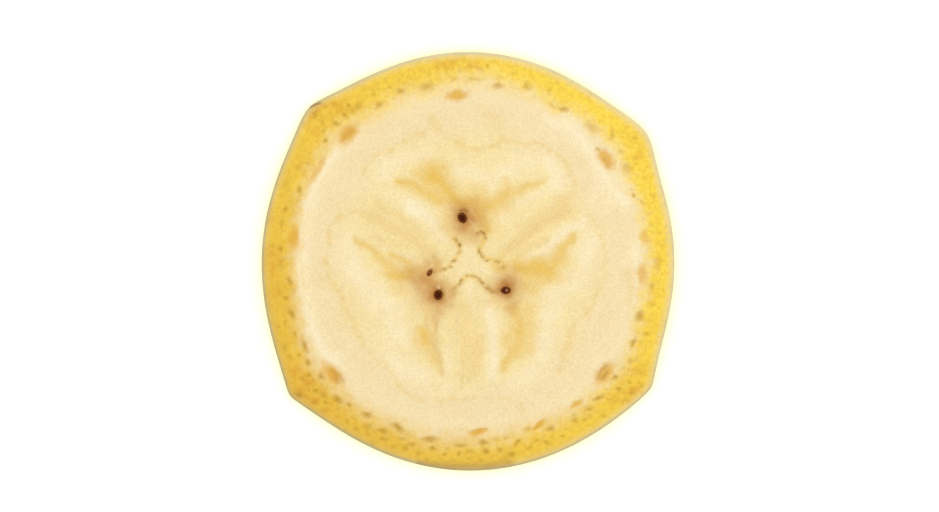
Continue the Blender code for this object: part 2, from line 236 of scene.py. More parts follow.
# The large, paler strands, in the same way
LARGE_STRANDS = (
    (-0.92, 14.38, 0.95, 0.48, 5, 0.92), (-10.42, 11.02, 1.04, 0.61, 45, 0.95),
    (-13.05, 7.85, 1.30, 0.30, 58, 0.58), (-15.12, 1.95, 0.95, 0.50, 82, 0.90),
    (-11.68, -9.82, 1.05, 0.60, -48, 1.00), (-12.30, -9.00, 0.50, 0.32, -35, 0.45),
    (0.92, -14.80, 0.80, 0.30, 15, 1.00), (6.10, -14.30, 0.70, 0.24, 38, 1.00),
    (9.45, -12.40, 0.66, 0.22, 38, 0.85), (11.88, -9.70, 1.04, 0.61, 52, 0.92),
    (15.15, -1.15, 0.85, 0.42, 90, 0.72), (15.35, 2.05, 0.68, 0.38, 100, 0.55),
    (12.00, 8.86, 1.05, 0.57, -55, 0.92),
)

# Brush strokes. Each: strength, distance from its path at which it has faded to a third, at its start
# and at its end, and path. The first two tables are for the peel: deeper orange patches, and browning
ORANGE_STROKES = (
    (0.55, 1.00, 0.90, ((-13.4, 12.2), (-12.4, 13.3), (-10.8, 13.4))),
    (0.50, 0.60, 0.50, ((-2.6, 17.1), (-0.8, 17.2), (0.8, 17.0))),
    (0.50, 0.45, 0.45, ((-17.0, 1.2), (-16.9, -0.5), (-16.7, -2.5))),
    (0.60, 1.20, 1.00, ((-14.6, -10.0), (-14.0, -11.6), (-12.8, -12.4))),
    (0.55, 0.70, 0.80, ((14.8, -9.6), (14.6, -11.0), (13.4, -11.8))),
    (0.35, 0.60, 0.60, ((14.6, 10.6), (14.8, 9.3))),
    (0.30, 0.40, 0.40, ((16.5, 0.2), (16.4, -0.6))),
)
BROWN_STROKES = (
    (0.35, 0.28, 0.40, ((-4.2, -17.5), (-1.5, -17.8), (1.5, -17.8), (3.6, -17.5))),
    (0.25, 0.20, 0.16, ((-14.9, -11.55), (-14.5, -11.65))),
    (0.75, 0.10, 0.12, ((-13.62, 13.40), (-13.20, 13.60), (-12.85, 13.70))),
    (0.24, 0.20, 0.13, ((-11.80, -9.50), (-11.40, -9.85), (-11.07, -9.95), (-10.75, -10.50))),
    (0.26, 0.24, 0.20, ((-11.45, -10.00), (-11.25, -10.45))),
    (0.32, 0.14, 0.13, ((11.32, -10.20), (11.45, -9.70), (11.75, -9.30), (12.10, -9.05))),
    (0.36, 0.17, 0.13, ((11.75, -10.20), (11.95, -9.85), (12.10, -9.60))),
    (0.18, 0.20, 0.16, ((-10.80, 10.50), (-10.50, 11.00), (-10.00, 11.35))),
    (0.14, 0.26, 0.20, ((12.10, 8.45), (11.85, 8.90))),
)

# The rest are for the flesh. Walls of its three carpels, where they show as thin lines
CARPEL_LINES = (
    (0.60, 0.21, 0.21, ((-9.0, 7.4), (-8.8, 8.4), (-7.7, 9.4), (-6.3, 9.9), (-5.0, 10.6), (-3.8, 11.2),
                        (-3.1, 11.8))),
    (0.60, 0.25, 0.21, ((-3.1, 11.8), (-2.0, 10.9), (-1.1, 10.3), (-0.5, 9.8), (0.8, 9.7), (1.5, 9.7),
                        (2.7, 10.0), (3.0, 10.5), (4.1, 10.2), (5.6, 10.3), (6.7, 9.9))),
    (0.55, 0.21, 0.21, ((6.7, 9.9), (7.7, 9.3), (8.4, 8.5), (8.9, 7.8), (9.3, 6.5), (8.9, 5.5),
                        (7.6, 4.8), (6.1, 3.7), (5.0, 2.7))),
    (0.60, 0.18, 0.20, ((-10.7, 4.0), (-9.9, 4.2), (-9.4, 4.5), (-8.2, 3.9), (-7.2, 2.8), (-5.4, 1.9),
                        (-3.8, 1.2))),
    (0.60, 0.18, 0.30, ((-10.4, 4.0), (-11.2, 3.8), (-11.9, 3.1), (-12.1, 1.6), (-12.2, 0.2),
                        (-12.0, -1.2), (-11.5, -2.2), (-10.9, -3.3), (-10.5, -4.3), (-10.0, -5.4),
                        (-9.2, -6.8))),
    (0.50, 0.18, 0.18, ((-9.1, -7.0), (-8.1, -8.6), (-7.1, -9.1), (-6.4, -10.2), (-5.6, -11.3),
                        (-4.2, -11.9), (-2.5, -12.1), (-0.8, -12.0), (0.6, -11.8))),
    (0.45, 0.18, 0.18, ((9.7, 4.2), (10.6, 3.8), (11.4, 3.1), (11.7, 1.9), (11.9, 0.2), (11.9, -1.2),
                        (11.4, -2.5))),
    (0.65, 0.21, 0.26, ((11.4, -2.6), (10.5, -4.4), (9.4, -5.3), (9.0, -6.2), (8.9, -7.1), (8.4, -8.0),
                        (8.2, -8.8), (8.0, -9.7))),
    (0.45, 0.16, 0.16, ((4.8, -13.2), (4.6, -12.4), (3.8, -12.0), (2.1, -11.9), (0.6, -11.8))),
)
# Firmer, tanner flesh in the walls and in the middle of each lobe
TAN_STROKES = (
    (0.60, 0.55, 0.50, ((-3.1, 12.4), (-2.7, 11.5))),
    (0.60, 0.40, 0.30, ((-0.9, 10.6), (-0.6, 10.0), (-0.3, 9.6))),
    (0.65, 0.40, 0.45, ((2.6, 10.1), (2.9, 10.8))),
    (0.60, 0.35, 0.35, ((10.3, -4.4), (10.6, -4.7))),
    (0.45, 0.35, 0.35, ((11.3, -2.4), (11.5, -2.6))),
    (0.60, 0.40, 0.45, ((9.0, -5.8), (8.8, -7.2), (8.3, -8.4))),
    (0.35, 0.80, 0.90, ((1.4, 13.2), (2.4, 11.9))),
    (0.40, 0.40, 0.40, ((-5.3, 10.6), (-4.1, 11.1))),
    (0.80, 0.85, 0.60, ((-8.5, 3.9), (-7.0, 3.2), (-5.8, 2.5), (-4.4, 1.6), (-3.2, 0.8))),
    (0.60, 0.50, 0.40, ((-7.8, 4.8), (-6.2, 4.0), (-5.0, 3.1), (-3.8, 2.0))),
    (0.85, 0.95, 0.45, ((8.3, 4.4), (6.6, 3.4), (5.2, 2.3), (3.9, 1.3), (2.9, 0.6))),
    (0.55, 0.50, 0.35, ((9.1, 5.8), (7.2, 4.6), (5.6, 3.6), (4.2, 2.8))),
    (0.50, 0.55, 0.50, ((4.8, 0.9), (6.4, 1.9))),
    (0.65, 1.20, 0.80, ((-0.2, -4.2), (-0.2, -6.5), (0.3, -8.5), (0.2, -9.6))),
    (0.80, 0.55, 0.60, ((0.9, -6.6), (0.8, -8.3), (0.6, -9.3))),
    (0.75, 0.24, 0.20, ((-0.4, -5.0), (-0.45, -7.5), (-0.4, -9.9), (-0.5, -11.0))),
    (0.55, 0.35, 0.35, ((-0.7, -9.8), (0.1, -10.3))),
    (0.40, 0.35, 0.30, ((-1.5, -11.8), (-0.8, -12.0))),
    (0.50, 0.50, 0.50, ((-10.8, -3.4), (-10.4, -4.6), (-9.9, -5.8))),
    (0.45, 0.40, 0.40, ((-9.3, -6.5), (-9.0, -7.0))),
    (0.45, 0.55, 0.60, ((14.3, -1.2), (14.3, -3.4))),
    (0.30, 1.20, 1.20, ((-10.4, -2.6), (-10.0, -3.8))),
    (0.22, 0.90, 0.90, ((-0.4, 0.8), (0.2, -0.2), (0.8, 0.3))),
    (0.70, 0.80, 0.75, ((-2.1, 2.9), (-1.4, 2.1), (-0.6, 1.8), (0.6, 2.0))),
    (0.50, 0.55, 0.50, ((-1.8, 4.0), (-1.4, 3.2))),
    (0.35, 0.35, 0.35, ((-1.6, -5.6), (-1.5, -7.4))),
    (0.45, 0.60, 0.60, ((3.3, 5.0), (3.9, 4.5))),
    (0.55, 0.50, 0.40, ((-8.2, 2.0), (-6.5, 1.6), (-5.0, 1.3))),
    (0.35, 0.50, 0.50, ((8.4, -1.5), (9.2, -1.3))),
    (0.40, 0.60, 0.60, ((2.4, 2.9), (2.9, 2.2))),
    (0.40, 0.75, 0.75, ((-11.9, -1.2), (-11.7, -2.0))),
    (0.35, 0.45, 0.45, ((-1.7, -0.6), (-1.2, -1.0))),
)
# Starchy, palest parts of flesh and pith
PALE_STROKES = (
    (1.00, 0.66, 0.48, ((-5.2, 4.9), (-3.7, 4.1), (-2.6, 2.9), (-1.8, 1.9))),
    (0.30, 0.30, 0.24, ((-8.2, 1.9), (-6.6, 1.1), (-4.9, 0.5))),
    (0.90, 0.55, 0.40, ((9.9, 3.4), (8.2, 2.4), (6.9, 1.2), (5.2, 0.3))),
    (0.55, 0.40, 0.34, ((6.5, 6.1), (4.4, 4.9), (2.9, 3.6))),
    (0.35, 0.40, 0.40, ((-1.9, -11.0), (-1.7, -8.5), (-1.6, -6.8))),
    (0.50, 0.24, 0.30, ((0.3, -1.8), (0.2, -3.2), (0.6, -4.6))),
    (0.90, 0.55, 0.50, ((2.2, -10.0), (2.2, -7.1), (2.1, -5.0), (1.6, -3.4))),
    (0.72, 0.80, 0.85, ((-0.8, 8.0), (0.8, 7.4), (2.2, 6.9), (3.8, 8.1), (5.4, 8.7))),
    (0.70, 0.70, 0.70, ((-7.4, 7.6), (-6.3, 8.6), (-3.7, 9.3))),
    (0.80, 0.70, 0.70, ((7.0, 8.6), (7.9, 7.3), (7.4, 6.3))),
    (0.78, 1.10, 1.35, ((-10.4, 1.2), (-9.8, -1.0), (-8.3, -2.8), (-6.6, -4.4), (-5.8, -6.4))),
    (0.60, 0.90, 0.90, ((-6.6, -8.5), (-4.0, -10.2))),
    (0.78, 0.90, 1.00, ((10.6, 1.6), (10.1, -1.0), (7.4, -3.2), (7.0, -5.3), (6.4, -8.2))),
    (0.60, 0.70, 0.70, ((4.0, -10.5), (6.0, -9.5))),
    (0.85, 0.52, 0.58, ((7.0, 12.4), (8.5, 11.5), (9.9, 10.6), (10.7, 9.3), (11.3, 8.2), (12.2, 6.6),
                        (13.7, 5.1))),
    (0.60, 0.45, 0.45, ((14.6, 1.4), (14.6, 0.2))),
    (0.40, 0.50, 0.50, ((11.2, 6.6), (10.9, 5.4))),
    (0.50, 0.60, 0.60, ((12.3, 6.4), (12.2, 4.6))),
    (0.50, 0.60, 0.60, ((8.2, 12.4), (9.6, 11.6))),
    (0.45, 0.55, 0.55, ((6.6, -3.4), (7.0, -4.0))),
    (0.35, 0.50, 0.50, ((-7.0, 5.9), (-6.3, 5.6))),
    (0.80, 0.50, 0.50, ((-11.4, 9.4), (-13.0, 6.9), (-13.9, 4.2), (-14.2, 1.3), (-14.3, -1.8),
                        (-13.7, -5.0), (-12.9, -7.3), (-11.4, -8.6))),
    (0.45, 0.65, 0.55, ((0.0, 1.9), (0.1, 0.6), (0.2, -0.4))),
    (0.40, 0.50, 0.50, ((-1.2, -1.1), (0.1, -0.5), (1.3, -0.7), (1.9, -1.1))),
)
# Wet gel in the six arms of the seed chambers
ARM_STROKES = (
    (0.80, 0.34, 0.60, ((-6.1, 7.05), (-5.3, 6.75), (-4.3, 6.45))),
    (0.75, 0.63, 0.46, ((-4.3, 6.40), (-3.4, 5.90), (-2.4, 5.20))),
    (0.95, 1.23, 0.90, ((-3.1, 7.40), (-2.6, 7.00), (-1.9, 6.20))),
    (0.68, 0.55, 0.50, ((-3.5, 6.30), (-2.6, 5.70), (-1.8, 5.20))),
    (0.55, 0.90, 0.90, ((-3.9, 7.70), (-2.2, 8.00))),
    (0.85, 0.74, 0.85, ((-1.9, 6.10), (-1.2, 5.50), (-0.4, 5.10))),
    (0.78, 0.96, 0.96, ((0.0, 5.10), (1.0, 4.95), (2.0, 4.70))),
    (0.35, 1.01, 0.68, ((0.0, 5.90), (1.5, 6.00))),
    (0.78, 0.68, 0.52, ((1.2, 4.50), (1.45, 3.70), (1.5, 2.80), (1.5, 2.20))),
    (0.68, 0.85, 0.68, ((1.8, 4.80), (2.6, 5.30), (3.4, 5.90))),
    (0.60, 0.63, 0.18, ((3.4, 5.90), (4.6, 6.20), (5.6, 6.60), (6.6, 7.00))),
    (0.40, 0.63, 0.46, ((3.2, 6.00), (3.2, 6.90))),
    (0.88, 0.98, 1.10, ((4.6, -0.60), (5.8, -0.65), (7.0, -0.80))),
    (0.55, 0.90, 0.79, ((4.6, -1.50), (6.2, -1.60), (7.4, -1.20))),
    (0.80, 0.96, 0.57, ((7.2, -0.60), (7.9, 0.20), (8.3, 1.00))),
    (0.70, 0.57, 0.24, ((8.3, 1.00), (8.8, 1.70), (9.2, 2.30))),
    (0.75, 0.74, 0.90, ((4.1, -4.20), (4.4, -5.40), (4.5, -6.20))),
    (0.64, 0.88, 0.82, ((4.4, -6.20), (4.4, -7.00), (4.0, -8.00))),
    (0.66, 0.68, 0.38, ((4.0, -7.90), (3.5, -8.60), (3.1, -9.20))),
    (0.46, 0.85, 0.85, ((5.2, -4.20), (5.4, -5.80), (5.2, -7.40))),
    (0.82, 0.90, 0.85, ((-3.8, -6.40), (-3.5, -7.10))),
    (0.50, 0.57, 0.46, ((-4.5, -6.90), (-4.1, -6.90))),
    (0.50, 0.78, 0.42, ((-3.5, -7.10), (-3.0, -8.10), (-2.6, -8.80))),
    (0.22, 0.50, 0.36, ((-2.5, -8.80), (-2.2, -9.80))),
    (0.15, 1.01, 0.90, ((-4.7, -3.60), (-4.7, -5.20))),
    (0.65, 0.30, 0.46, ((-9.7, 2.00), (-8.9, 1.40), (-8.0, 0.60))),
    (0.60, 0.52, 0.85, ((-8.0, 0.50), (-7.0, -0.20), (-6.2, -0.80))),
    (0.78, 0.72, 0.78, ((-6.6, -1.05), (-5.8, -1.20), (-5.0, -1.10))),
    (0.62, 0.41, 0.48, ((-6.6, 0.50), (-5.8, 0.10), (-5.2, -0.30))),
    (0.36, 0.57, 0.62, ((-4.9, -0.85), (-4.2, -1.05))),
    (0.28, 0.85, 0.85, ((-7.0, -0.90), (-6.2, -1.90), (-5.8, -2.40))),
    (0.72, 0.62, 0.60, ((2.5, -0.10), (3.2, -0.60))),
    (0.55, 0.60, 0.60, ((-4.3, -0.80), (-3.7, -0.95))),
    (0.40, 0.75, 0.75, ((-3.5, -4.20), (-3.1, -5.10))),
    (0.50, 1.30, 1.30, ((-0.6, 4.00), (0.0, 3.40))),
    (0.72, 0.75, 0.65, ((0.6, 4.60), (0.9, 3.90), (1.0, 3.20))),
    (0.40, 0.50, 0.50, ((-1.8, -2.40), (-1.2, -2.70))),
    (0.50, 0.60, 0.55, ((3.7, -6.30), (3.5, -7.40))),
    (0.42, 1.30, 1.40, ((-3.4, -1.20), (-2.7, -2.80), (-2.6, -3.40))),
    (0.40, 1.30, 1.20, ((3.3, -2.00), (3.4, -3.00))),
    (0.52, 0.85, 0.85, ((4.6, -2.10), (5.8, -2.40))),
    (0.55, 0.50, 0.45, ((-2.8, -0.30), (-2.5, -0.60))),
    (0.35, 0.50, 0.55, ((1.6, -3.50), (2.1, -3.40))),
)
# Browning by the seeds
STAIN_STROKES = (
    (0.92, 1.05, 1.10, ((-0.45, 4.10), (-0.20, 3.50))),
    (0.45, 0.95, 0.80, ((0.1, 4.60), (0.7, 4.10), (0.9, 3.40))),
    (0.50, 0.70, 0.60, ((0.0, 3.00), (0.7, 2.30))),
    (0.86, 1.15, 1.10, ((-2.75, -2.75), (-2.60, -3.10))),
    (0.72, 1.00, 0.90, ((-3.9, -1.40), (-3.4, -1.80), (-3.1, -2.30))),
    (0.55, 1.20, 1.20, ((-4.4, -1.40), (-3.6, -2.60))),
    (0.70, 0.55, 0.45, ((-3.6, -1.05), (-2.9, -1.00))),
    (0.45, 0.60, 0.45, ((-1.9, -2.55), (-1.3, -2.80))),
    (0.50, 0.50, 0.34, ((-2.0, -2.90), (-1.2, -2.95))),
    (0.52, 0.65, 0.55, ((-2.6, -3.70), (-2.55, -4.40))),
    (0.58, 0.50, 0.50, ((-1.0, 3.50), (-0.85, 3.10))),
    (0.35, 0.40, 0.40, ((-2.8, -0.60), (-2.8, 0.20))),
    (0.32, 0.45, 0.22, ((-2.7, -3.80), (-2.75, -5.00), (-2.8, -5.80))),
    (0.20, 0.28, 0.22, ((-3.55, -4.80), (-3.5, -5.60))),
    (0.18, 0.30, 0.16, ((-2.9, -6.00), (-2.7, -7.50), (-2.3, -8.70), (-2.1, -10.00))),
    (0.92, 1.05, 1.00, ((3.4, -2.05), (3.3, -2.55))),
    (0.44, 1.00, 1.00, ((3.8, -1.60), (4.0, -2.50))),
    (0.50, 0.50, 0.60, ((2.0, -2.45), (2.6, -2.60))),
    (0.36, 0.55, 0.50, ((4.1, -3.50), (3.6, -4.20))),
    (0.20, 0.90, 0.70, ((0.2, 2.90), (0.3, 2.10))),
    (0.45, 0.75, 0.60, ((-4.0, -0.90), (-3.5, -0.20))),
    (0.32, 0.60, 0.55, ((-2.8, -0.10), (-2.5, -0.80))),
)
# Star in the middle, and the row of small dark strand ends along it
STAR_LINES = (
    (0.56, 0.24, 0.22, ((-1.20, 2.05), (-0.70, 1.40), (-0.70, 0.80), (-1.20, 0.05), (-1.90, -0.70),
                        (-2.60, -0.85))),
    (0.64, 0.27, 0.23, ((0.85, 2.42), (1.10, 2.60), (1.50, 2.30), (1.35, 1.60), (0.95, 1.00),
                        (1.38, 0.32), (2.50, 0.00), (3.00, -0.60))),
    (0.60, 0.24, 0.24, ((-1.60, -2.60), (-0.62, -1.85), (-0.10, -1.30), (0.60, -1.32), (1.28, -1.90),
                        (1.90, -2.50), (2.60, -2.70))),
)
STITCHES = (
    (0.56, 0.14, 0.18, ((-1.10, 1.90), (-0.85, 1.65), (-0.65, 1.32))),
    (0.27, 0.15, 0.13, ((-0.65, 0.95), (-0.80, 0.70))),
    (0.50, 0.18, 0.14, ((-1.25, 0.04), (-1.12, 0.06))),
    (0.41, 0.14, 0.14, ((-1.48, -0.52), (-1.38, -0.47))),
    (0.46, 0.14, 0.14, ((-2.30, -0.78), (-1.92, -0.70))),
    (0.52, 0.14, 0.17, ((0.85, 2.42), (1.10, 2.60), (1.40, 2.48), (1.58, 2.05))),
    (0.50, 0.14, 0.14, ((0.95, 1.08), (1.00, 0.80), (1.18, 0.50), (1.38, 0.32))),
    (0.50, 0.14, 0.14, ((1.58, 0.04), (1.72, 0.06))),
    (0.50, 0.14, 0.15, ((2.42, 0.05), (2.72, -0.04))),
    (0.46, 0.17, 0.17, ((2.92, -0.62), (3.10, -0.50))),
    (0.24, 0.15, 0.14, ((-1.24, -2.42), (-0.80, -2.10))),
    (0.56, 0.18, 0.18, ((-0.72, -1.98), (-0.52, -1.70))),
    (0.35, 0.11, 0.11, ((-0.10, -1.28), (0.15, -1.20), (0.50, -1.30), (0.90, -1.42))),
    (0.56, 0.15, 0.18, ((1.03, -1.58), (1.28, -1.90))),
    (0.31, 0.18, 0.21, ((1.42, -2.15), (1.75, -2.42), (2.20, -2.62))),
    (0.60, 0.15, 0.14, ((-0.62, 4.40), (-0.35, 4.52), (-0.05, 4.30), (0.02, 4.00))),
    (0.37, 0.15, 0.14, ((3.25, -1.75), (3.45, -2.00), (3.72, -2.10))),
)
# Fine pale fibres by the seeds, and one painted highlight: the short, strong stroke just above the
# second top seed
FIBRES_AND_HIGHLIGHT = (
    (0.14, 0.13, 0.09, ((0.20, 3.55), (0.50, 3.10), (0.75, 2.90))),
    (0.17, 0.14, 0.10, ((-7.00, 0.30), (-6.10, -0.35), (-5.20, -1.10))),
    (0.13, 0.13, 0.10, ((-8.00, -0.35), (-7.50, -0.65), (-7.10, -1.00))),
    (0.13, 0.13, 0.10, ((4.20, -1.85), (4.75, -2.20))),
    (0.10, 0.13, 0.10, ((4.35, -1.60), (4.70, -1.00))),
    # Painted highlight just above the second top seed, not a fibre
    (0.44, 0.10, 0.07, ((-2.56, -2.20), (-2.54, -2.36))),
    (0.12, 0.14, 0.11, ((-3.30, -4.95), (-3.22, -5.40), (-3.35, -6.00))),
    (0.08, 0.14, 0.11, ((-4.20, 6.95), (-3.30, 6.30), (-2.25, 5.35))),
    (0.08, 0.13, 0.10, ((-4.50, 6.70), (-3.50, 6.00))),
    (0.10, 0.13, 0.10, ((1.90, 4.40), (2.60, 4.60))),
    (0.11, 0.13, 0.10, ((3.90, 6.40), (4.60, 6.00))),
    (0.13, 0.14, 0.11, ((3.20, -8.00), (3.40, -7.50), (3.65, -7.00))),
    (0.13, 0.13, 0.11, ((4.00, -5.30), (4.40, -5.90))),
    (0.13, 0.13, 0.11, ((6.95, -0.40), (7.60, -0.05), (8.30, 0.65), (8.90, 1.40))),
)

# Half height of an undeveloped seed, and how far its top lies under the flesh round it
SEED_HALF_HEIGHT = 0.26
SEED_SINK = 0.03
# Width of a pit and of the seed in it, as shares of the oval given below, and room under the seed
PIT_SHARE = 1.03
SEED_SHARE = 0.98
PIT_ROOM = 0.02
# Seeds in the upper cut face. Each: CAD node, place, half length, half width, direction, share that
# the knife opened, share of the coat that is still light brown
TOP_SEEDS = (
    ("seed_top_1", (-0.52, 3.71), 0.44, 0.36, 115.0, 0.0, 0.0),
    ("seed_top_2", (-2.63, -2.97), 0.41, 0.35, 80.0, 0.0, 0.0),
    ("seed_top_3", (-3.37, -1.05), 0.25, 0.155, 55.0, 0.0, 1.0),
    ("seed_top_4", (3.23, -2.57), 0.39, 0.30, 5.0, 1.0, 0.0),
)
# Seeds in the lower cut face, in the same way
BOTTOM_SEEDS = (
    ("seed_bottom_1", (0.60, 3.60), 0.42, 0.34, 70.0, 0.0, 0.0),
    ("seed_bottom_2", (-3.30, -2.05), 0.40, 0.35, 30.0, 1.0, 0.0),
    ("seed_bottom_3", (3.00, -3.10), 0.44, 0.33, 150.0, 0.0, 0.3),
)


def hex_colour(code):
    """Linear red, green, blue and alpha of an sRGB colour written as #rrggbb."""
    channels = [int(code[i : i + 2], 16) / 255.0 for i in (1, 3, 5)]
    return (*(c / 12.92 if c <= 0.04045 else ((c + 0.055) / 1.055) ** 2.4 for c in channels), 1.0)


def colour_property(name, description, code):
    """A colour that the user can change, with its default written as #rrggbb."""
    return FloatVectorProperty(
        name=name,
        description=description,
        subtype="COLOR",
        size=4,
        min=0.0,
        max=1.0,
        default=hex_colour(code),
    )


class PeelSettings(bpy.types.PropertyGroup):
    # The two sides differ partly in ripeness and partly by painted light and shade: the lemon side
    # faces the key light
    lemon: colour_property("Sunny Side", "Peel on the side that ripened to a lemon yellow", "#dfc142")
    ochre_and_shade: colour_property("Shaded Side", "Peel on the side that ripened to a deeper yellow", "#cea837")
    orange: colour_property("Orange Patches", "Deeper patches of the cut peel", "#c6922a")
    rind: colour_property("Rind", "Paler band of the cut peel just under the skin", "#d2bd80")
    large: colour_property("Large Strands", "Cut ends of the large strands", "#c9972a")
    strand: colour_property("Strands", "Cut ends of the small strands", "#ad841f")
    browned: colour_property("Browning", "Browned peel and scars", "#7f521f")
    # Painted light and shade at the edge of the skin: lighter on the side towards the key light, darker
    # on the side away from it
    edge_lit_side: colour_property("Skin Edge, Sunny", "Edge of the skin, sunny side", "#bdb495")
    edge_shade_side: colour_property("Skin Edge, Shaded", "Edge of the skin, shaded side", "#a59a70")
    relief: FloatProperty(
        name="Strand Depth",
        description="How far the strand ends have shrunk under the cut face",
        default=0.08 * MM,
        min=0.0,
        max=0.5 * MM,
        precision=5,
        unit="LENGTH",
    )


class FleshSettings(bpy.types.PropertyGroup):
    flesh: colour_property("Flesh", "Flesh inside the seed chambers", "#dac893")
    outer: colour_property("Outer Flesh", "Firmer flesh by the peel, and the peel's pith", "#d9c69b")
    yellow: colour_property("Yellowed Flesh", "Flesh that the yellow of the peel reaches", "#d3b154")
    pale: colour_property("Pale Flesh", "Starchy, palest parts", "#dfd0ac")
    tan: colour_property("Carpel Walls", "Walls of the seed chambers and middles of lobes", "#d4b97c")
    gel: colour_property("Gel", "Wet, clearer flesh in the arms of the seed chambers", "#d0aa4a")
    stain: colour_property("Stain", "Browned flesh round the seeds", "#a96b26")
    stitch: colour_property("Stitches", "Small dark strand ends along the middle star", "#7e5312")
    # This pale colour also paints the highlight just above the second top seed
    fibre_and_highlight: colour_property("Fibres", "Fine pale fibres by the seeds", "#e2d7b8")
    relief: FloatProperty(
        name="Relief",
        description="Depth of the hollows that the knife leaves over the seed chambers",
        default=0.05 * MM,
        min=0.0,
        max=0.3 * MM,
        precision=5,
        unit="LENGTH",
    )


class SeedSettings(bpy.types.PropertyGroup):
    coat: colour_property("Seed Coat", "Dark coat of an undeveloped seed", "#3d1403")
    rim: colour_property("Rim", "Browner rim of the seed coat", "#84481c")
    kernel: colour_property("Kernel", "Pale inside of a seed that the knife opened", "#9c6c44")


class StageSettings(bpy.types.PropertyGroup):
    table: colour_property("Table", "White table under the slice", "#f4f4f4")
    # Painted glow next to the slice, standing for light through the peel
    tint: colour_property("Tint", "Light through the peel on the table next to the slice", "#f4efb4")
    table_glow: FloatProperty(
        name="Table Light",
        description="Light from below through the table",
        default=0.45,
        min=0.0,
        max=4.0,
    )
    key_power: FloatProperty(
        name="Key Light",
        description="Power of the large soft light",
        default=1.65,
        min=0.0,
        unit="POWER",
    )
    sky: FloatProperty(
        name="Room Light",
        description="Strength of the even light all round",
        default=1.0,
        min=0.0,
        max=4.0,
    )


def add_node(tree, kind, inputs=None, **settings):
    """Adds a node with its settings. An input is a value, or another node's socket to link."""
    node = tree.nodes.new(kind)
    for name, value in settings.items():
        setattr(node, name, value)
    for socket, value in (inputs or {}).items():
        if isinstance(value, bpy.types.NodeSocket):
            tree.links.new(value, node.inputs[socket])
        else:
            node.inputs[socket].default_value = value
    return node


def new_material(name):
    """A material without nodes, for add_node to fill."""
    material = bpy.data.materials.new(name)
    material.use_nodes = True
    material.node_tree.nodes.clear()
    return material


def turns_from(degrees, centre):
    """Signed angle from centre to degrees, the short way round."""
    return (degrees - centre + 180.0) % 360.0 - 180.0


def skin_radius(degrees):
    """Distance from the middle to the skin at the cut faces."""
    radius = SKIN_RADIUS - SKIN_OVAL * np.cos(np.radians(2.0 * degrees))
    for at, height, before, after, tip in RIDGES:
        turn = turns_from(degrees, at)
        spread = np.where(turn < 0.0, before, after)
        radius = radius + height * np.exp((tip - np.hypot(turn, tip)) / spread)
    return radius


def seam_radius(degrees):
    """Distance from the middle to the line where peel and flesh meet."""
    at, depth, spread = FLESH_FLAT
    return FLESH_RADIUS - depth * np.exp(-((turns_from(degrees, at) / spread) ** 2)) + SEAM


def around(table, degrees, column=1):
    """A column of a table whose first column holds directions, read at each direction."""
    columns = np.array(table, float).T
    return np.interp(degrees % 360.0, columns[0], columns[column], period=360.0)


def smooth_step(low, high, value):
    """Rises softly from 0 at low to 1 at high."""
    share = np.clip((value - low) / (high - low), 0.0, 1.0)
    return share * share * (3.0 - 2.0 * share)


def drift(x, y, size, seed):
    """Soft uneven pattern between about -1 and 1, with patches of the given size in millimetres. It
    adds up waves that run in random directions, one to three times as long as the patches, and the
    seed picks one such pattern."""
    random = np.random.RandomState(seed)
    waves = 9
    total = np.zeros_like(x)
    for _ in range(waves):
        direction, phase = random.uniform(0.0, math.tau, 2)
        wave = math.tau / (size * random.uniform(1.3, 3.4))
        total += np.sin((x * math.cos(direction) + y * math.sin(direction)) * wave + phase)
    return total / (0.4 * waves)


def brushed(x, y, strokes):
    """How strongly soft brush strokes, from a table above, cover each place, from 0 to 1."""
    cover = np.zeros_like(x)
    for strength, start, end, path in strokes:
        path = np.array(path, float)
        lengths = np.hypot(*(path[1:] - path[:-1]).T)
        before = np.concatenate(([0.0], np.cumsum(lengths))) / lengths.sum()
        for i, length in enumerate(lengths):
            along = (path[i + 1] - path[i]) / length
            reach = np.clip((x - path[i, 0]) * along[0] + (y - path[i, 1]) * along[1], 0.0, length)
            away = np.hypot(x - path[i, 0] - reach * along[0], y - path[i, 1] - reach * along[1])
            width = start + (end - start) * (before[i] + reach / length * (before[i + 1] - before[i]))
            cover = np.maximum(cover, strength * np.exp(-((away / width) ** 2)))
    return cover


def spin_solid(name, points, steps):
    """Spins a profile of points (radius and height, in mm) right round into a closed solid."""
    doubles = 0.0001 * MM
    bpy.ops.object.select_all(action="DESELECT")
    bpy.ops.mesh.primitive_plane_add(size=MM)
    piece = bpy.context.object
    piece.name = name
    bpy.ops.object.mode_set(mode="EDIT")
    bpy.ops.mesh.select_all(action="SELECT")
    bpy.ops.mesh.merge(type="CENTER")
    places = [Vector((radius, 0.0, height)) * MM for radius, height in points]
    bpy.ops.transform.translate(value=places[0])
    for last, place in zip(places, places[1:]):
        bpy.ops.mesh.extrude_vertices_move(TRANSFORM_OT_translate={"value": place - last})
    bpy.ops.object.mode_set(mode="OBJECT")
    bpy.ops.object.modifier_add(type="SCREW")
    spin = piece.modifiers[-1]
    spin.axis = "Z"
    spin.angle = math.tau
    spin.steps = spin.render_steps = steps
    spin.use_merge_vertices = True
    spin.merge_threshold = doubles
    bpy.ops.object.modifier_apply(modifier=spin.name)
    bpy.ops.object.mode_set(mode="EDIT")
    bpy.ops.mesh.select_all(action="SELECT")
    bpy.ops.mesh.remove_doubles(threshold=doubles)
    bpy.ops.mesh.select_all(action="SELECT")
    bpy.ops.mesh.normals_make_consistent(inside=False)
    bpy.ops.object.mode_set(mode="OBJECT")
    return piece


def read_points(piece):
    """The mesh's points in millimetres, as three arrays."""
    places = np.empty(len(piece.data.vertices) * 3)
    piece.data.vertices.foreach_get("co", places)
    return (places.reshape(-1, 3) / MM).T.copy()


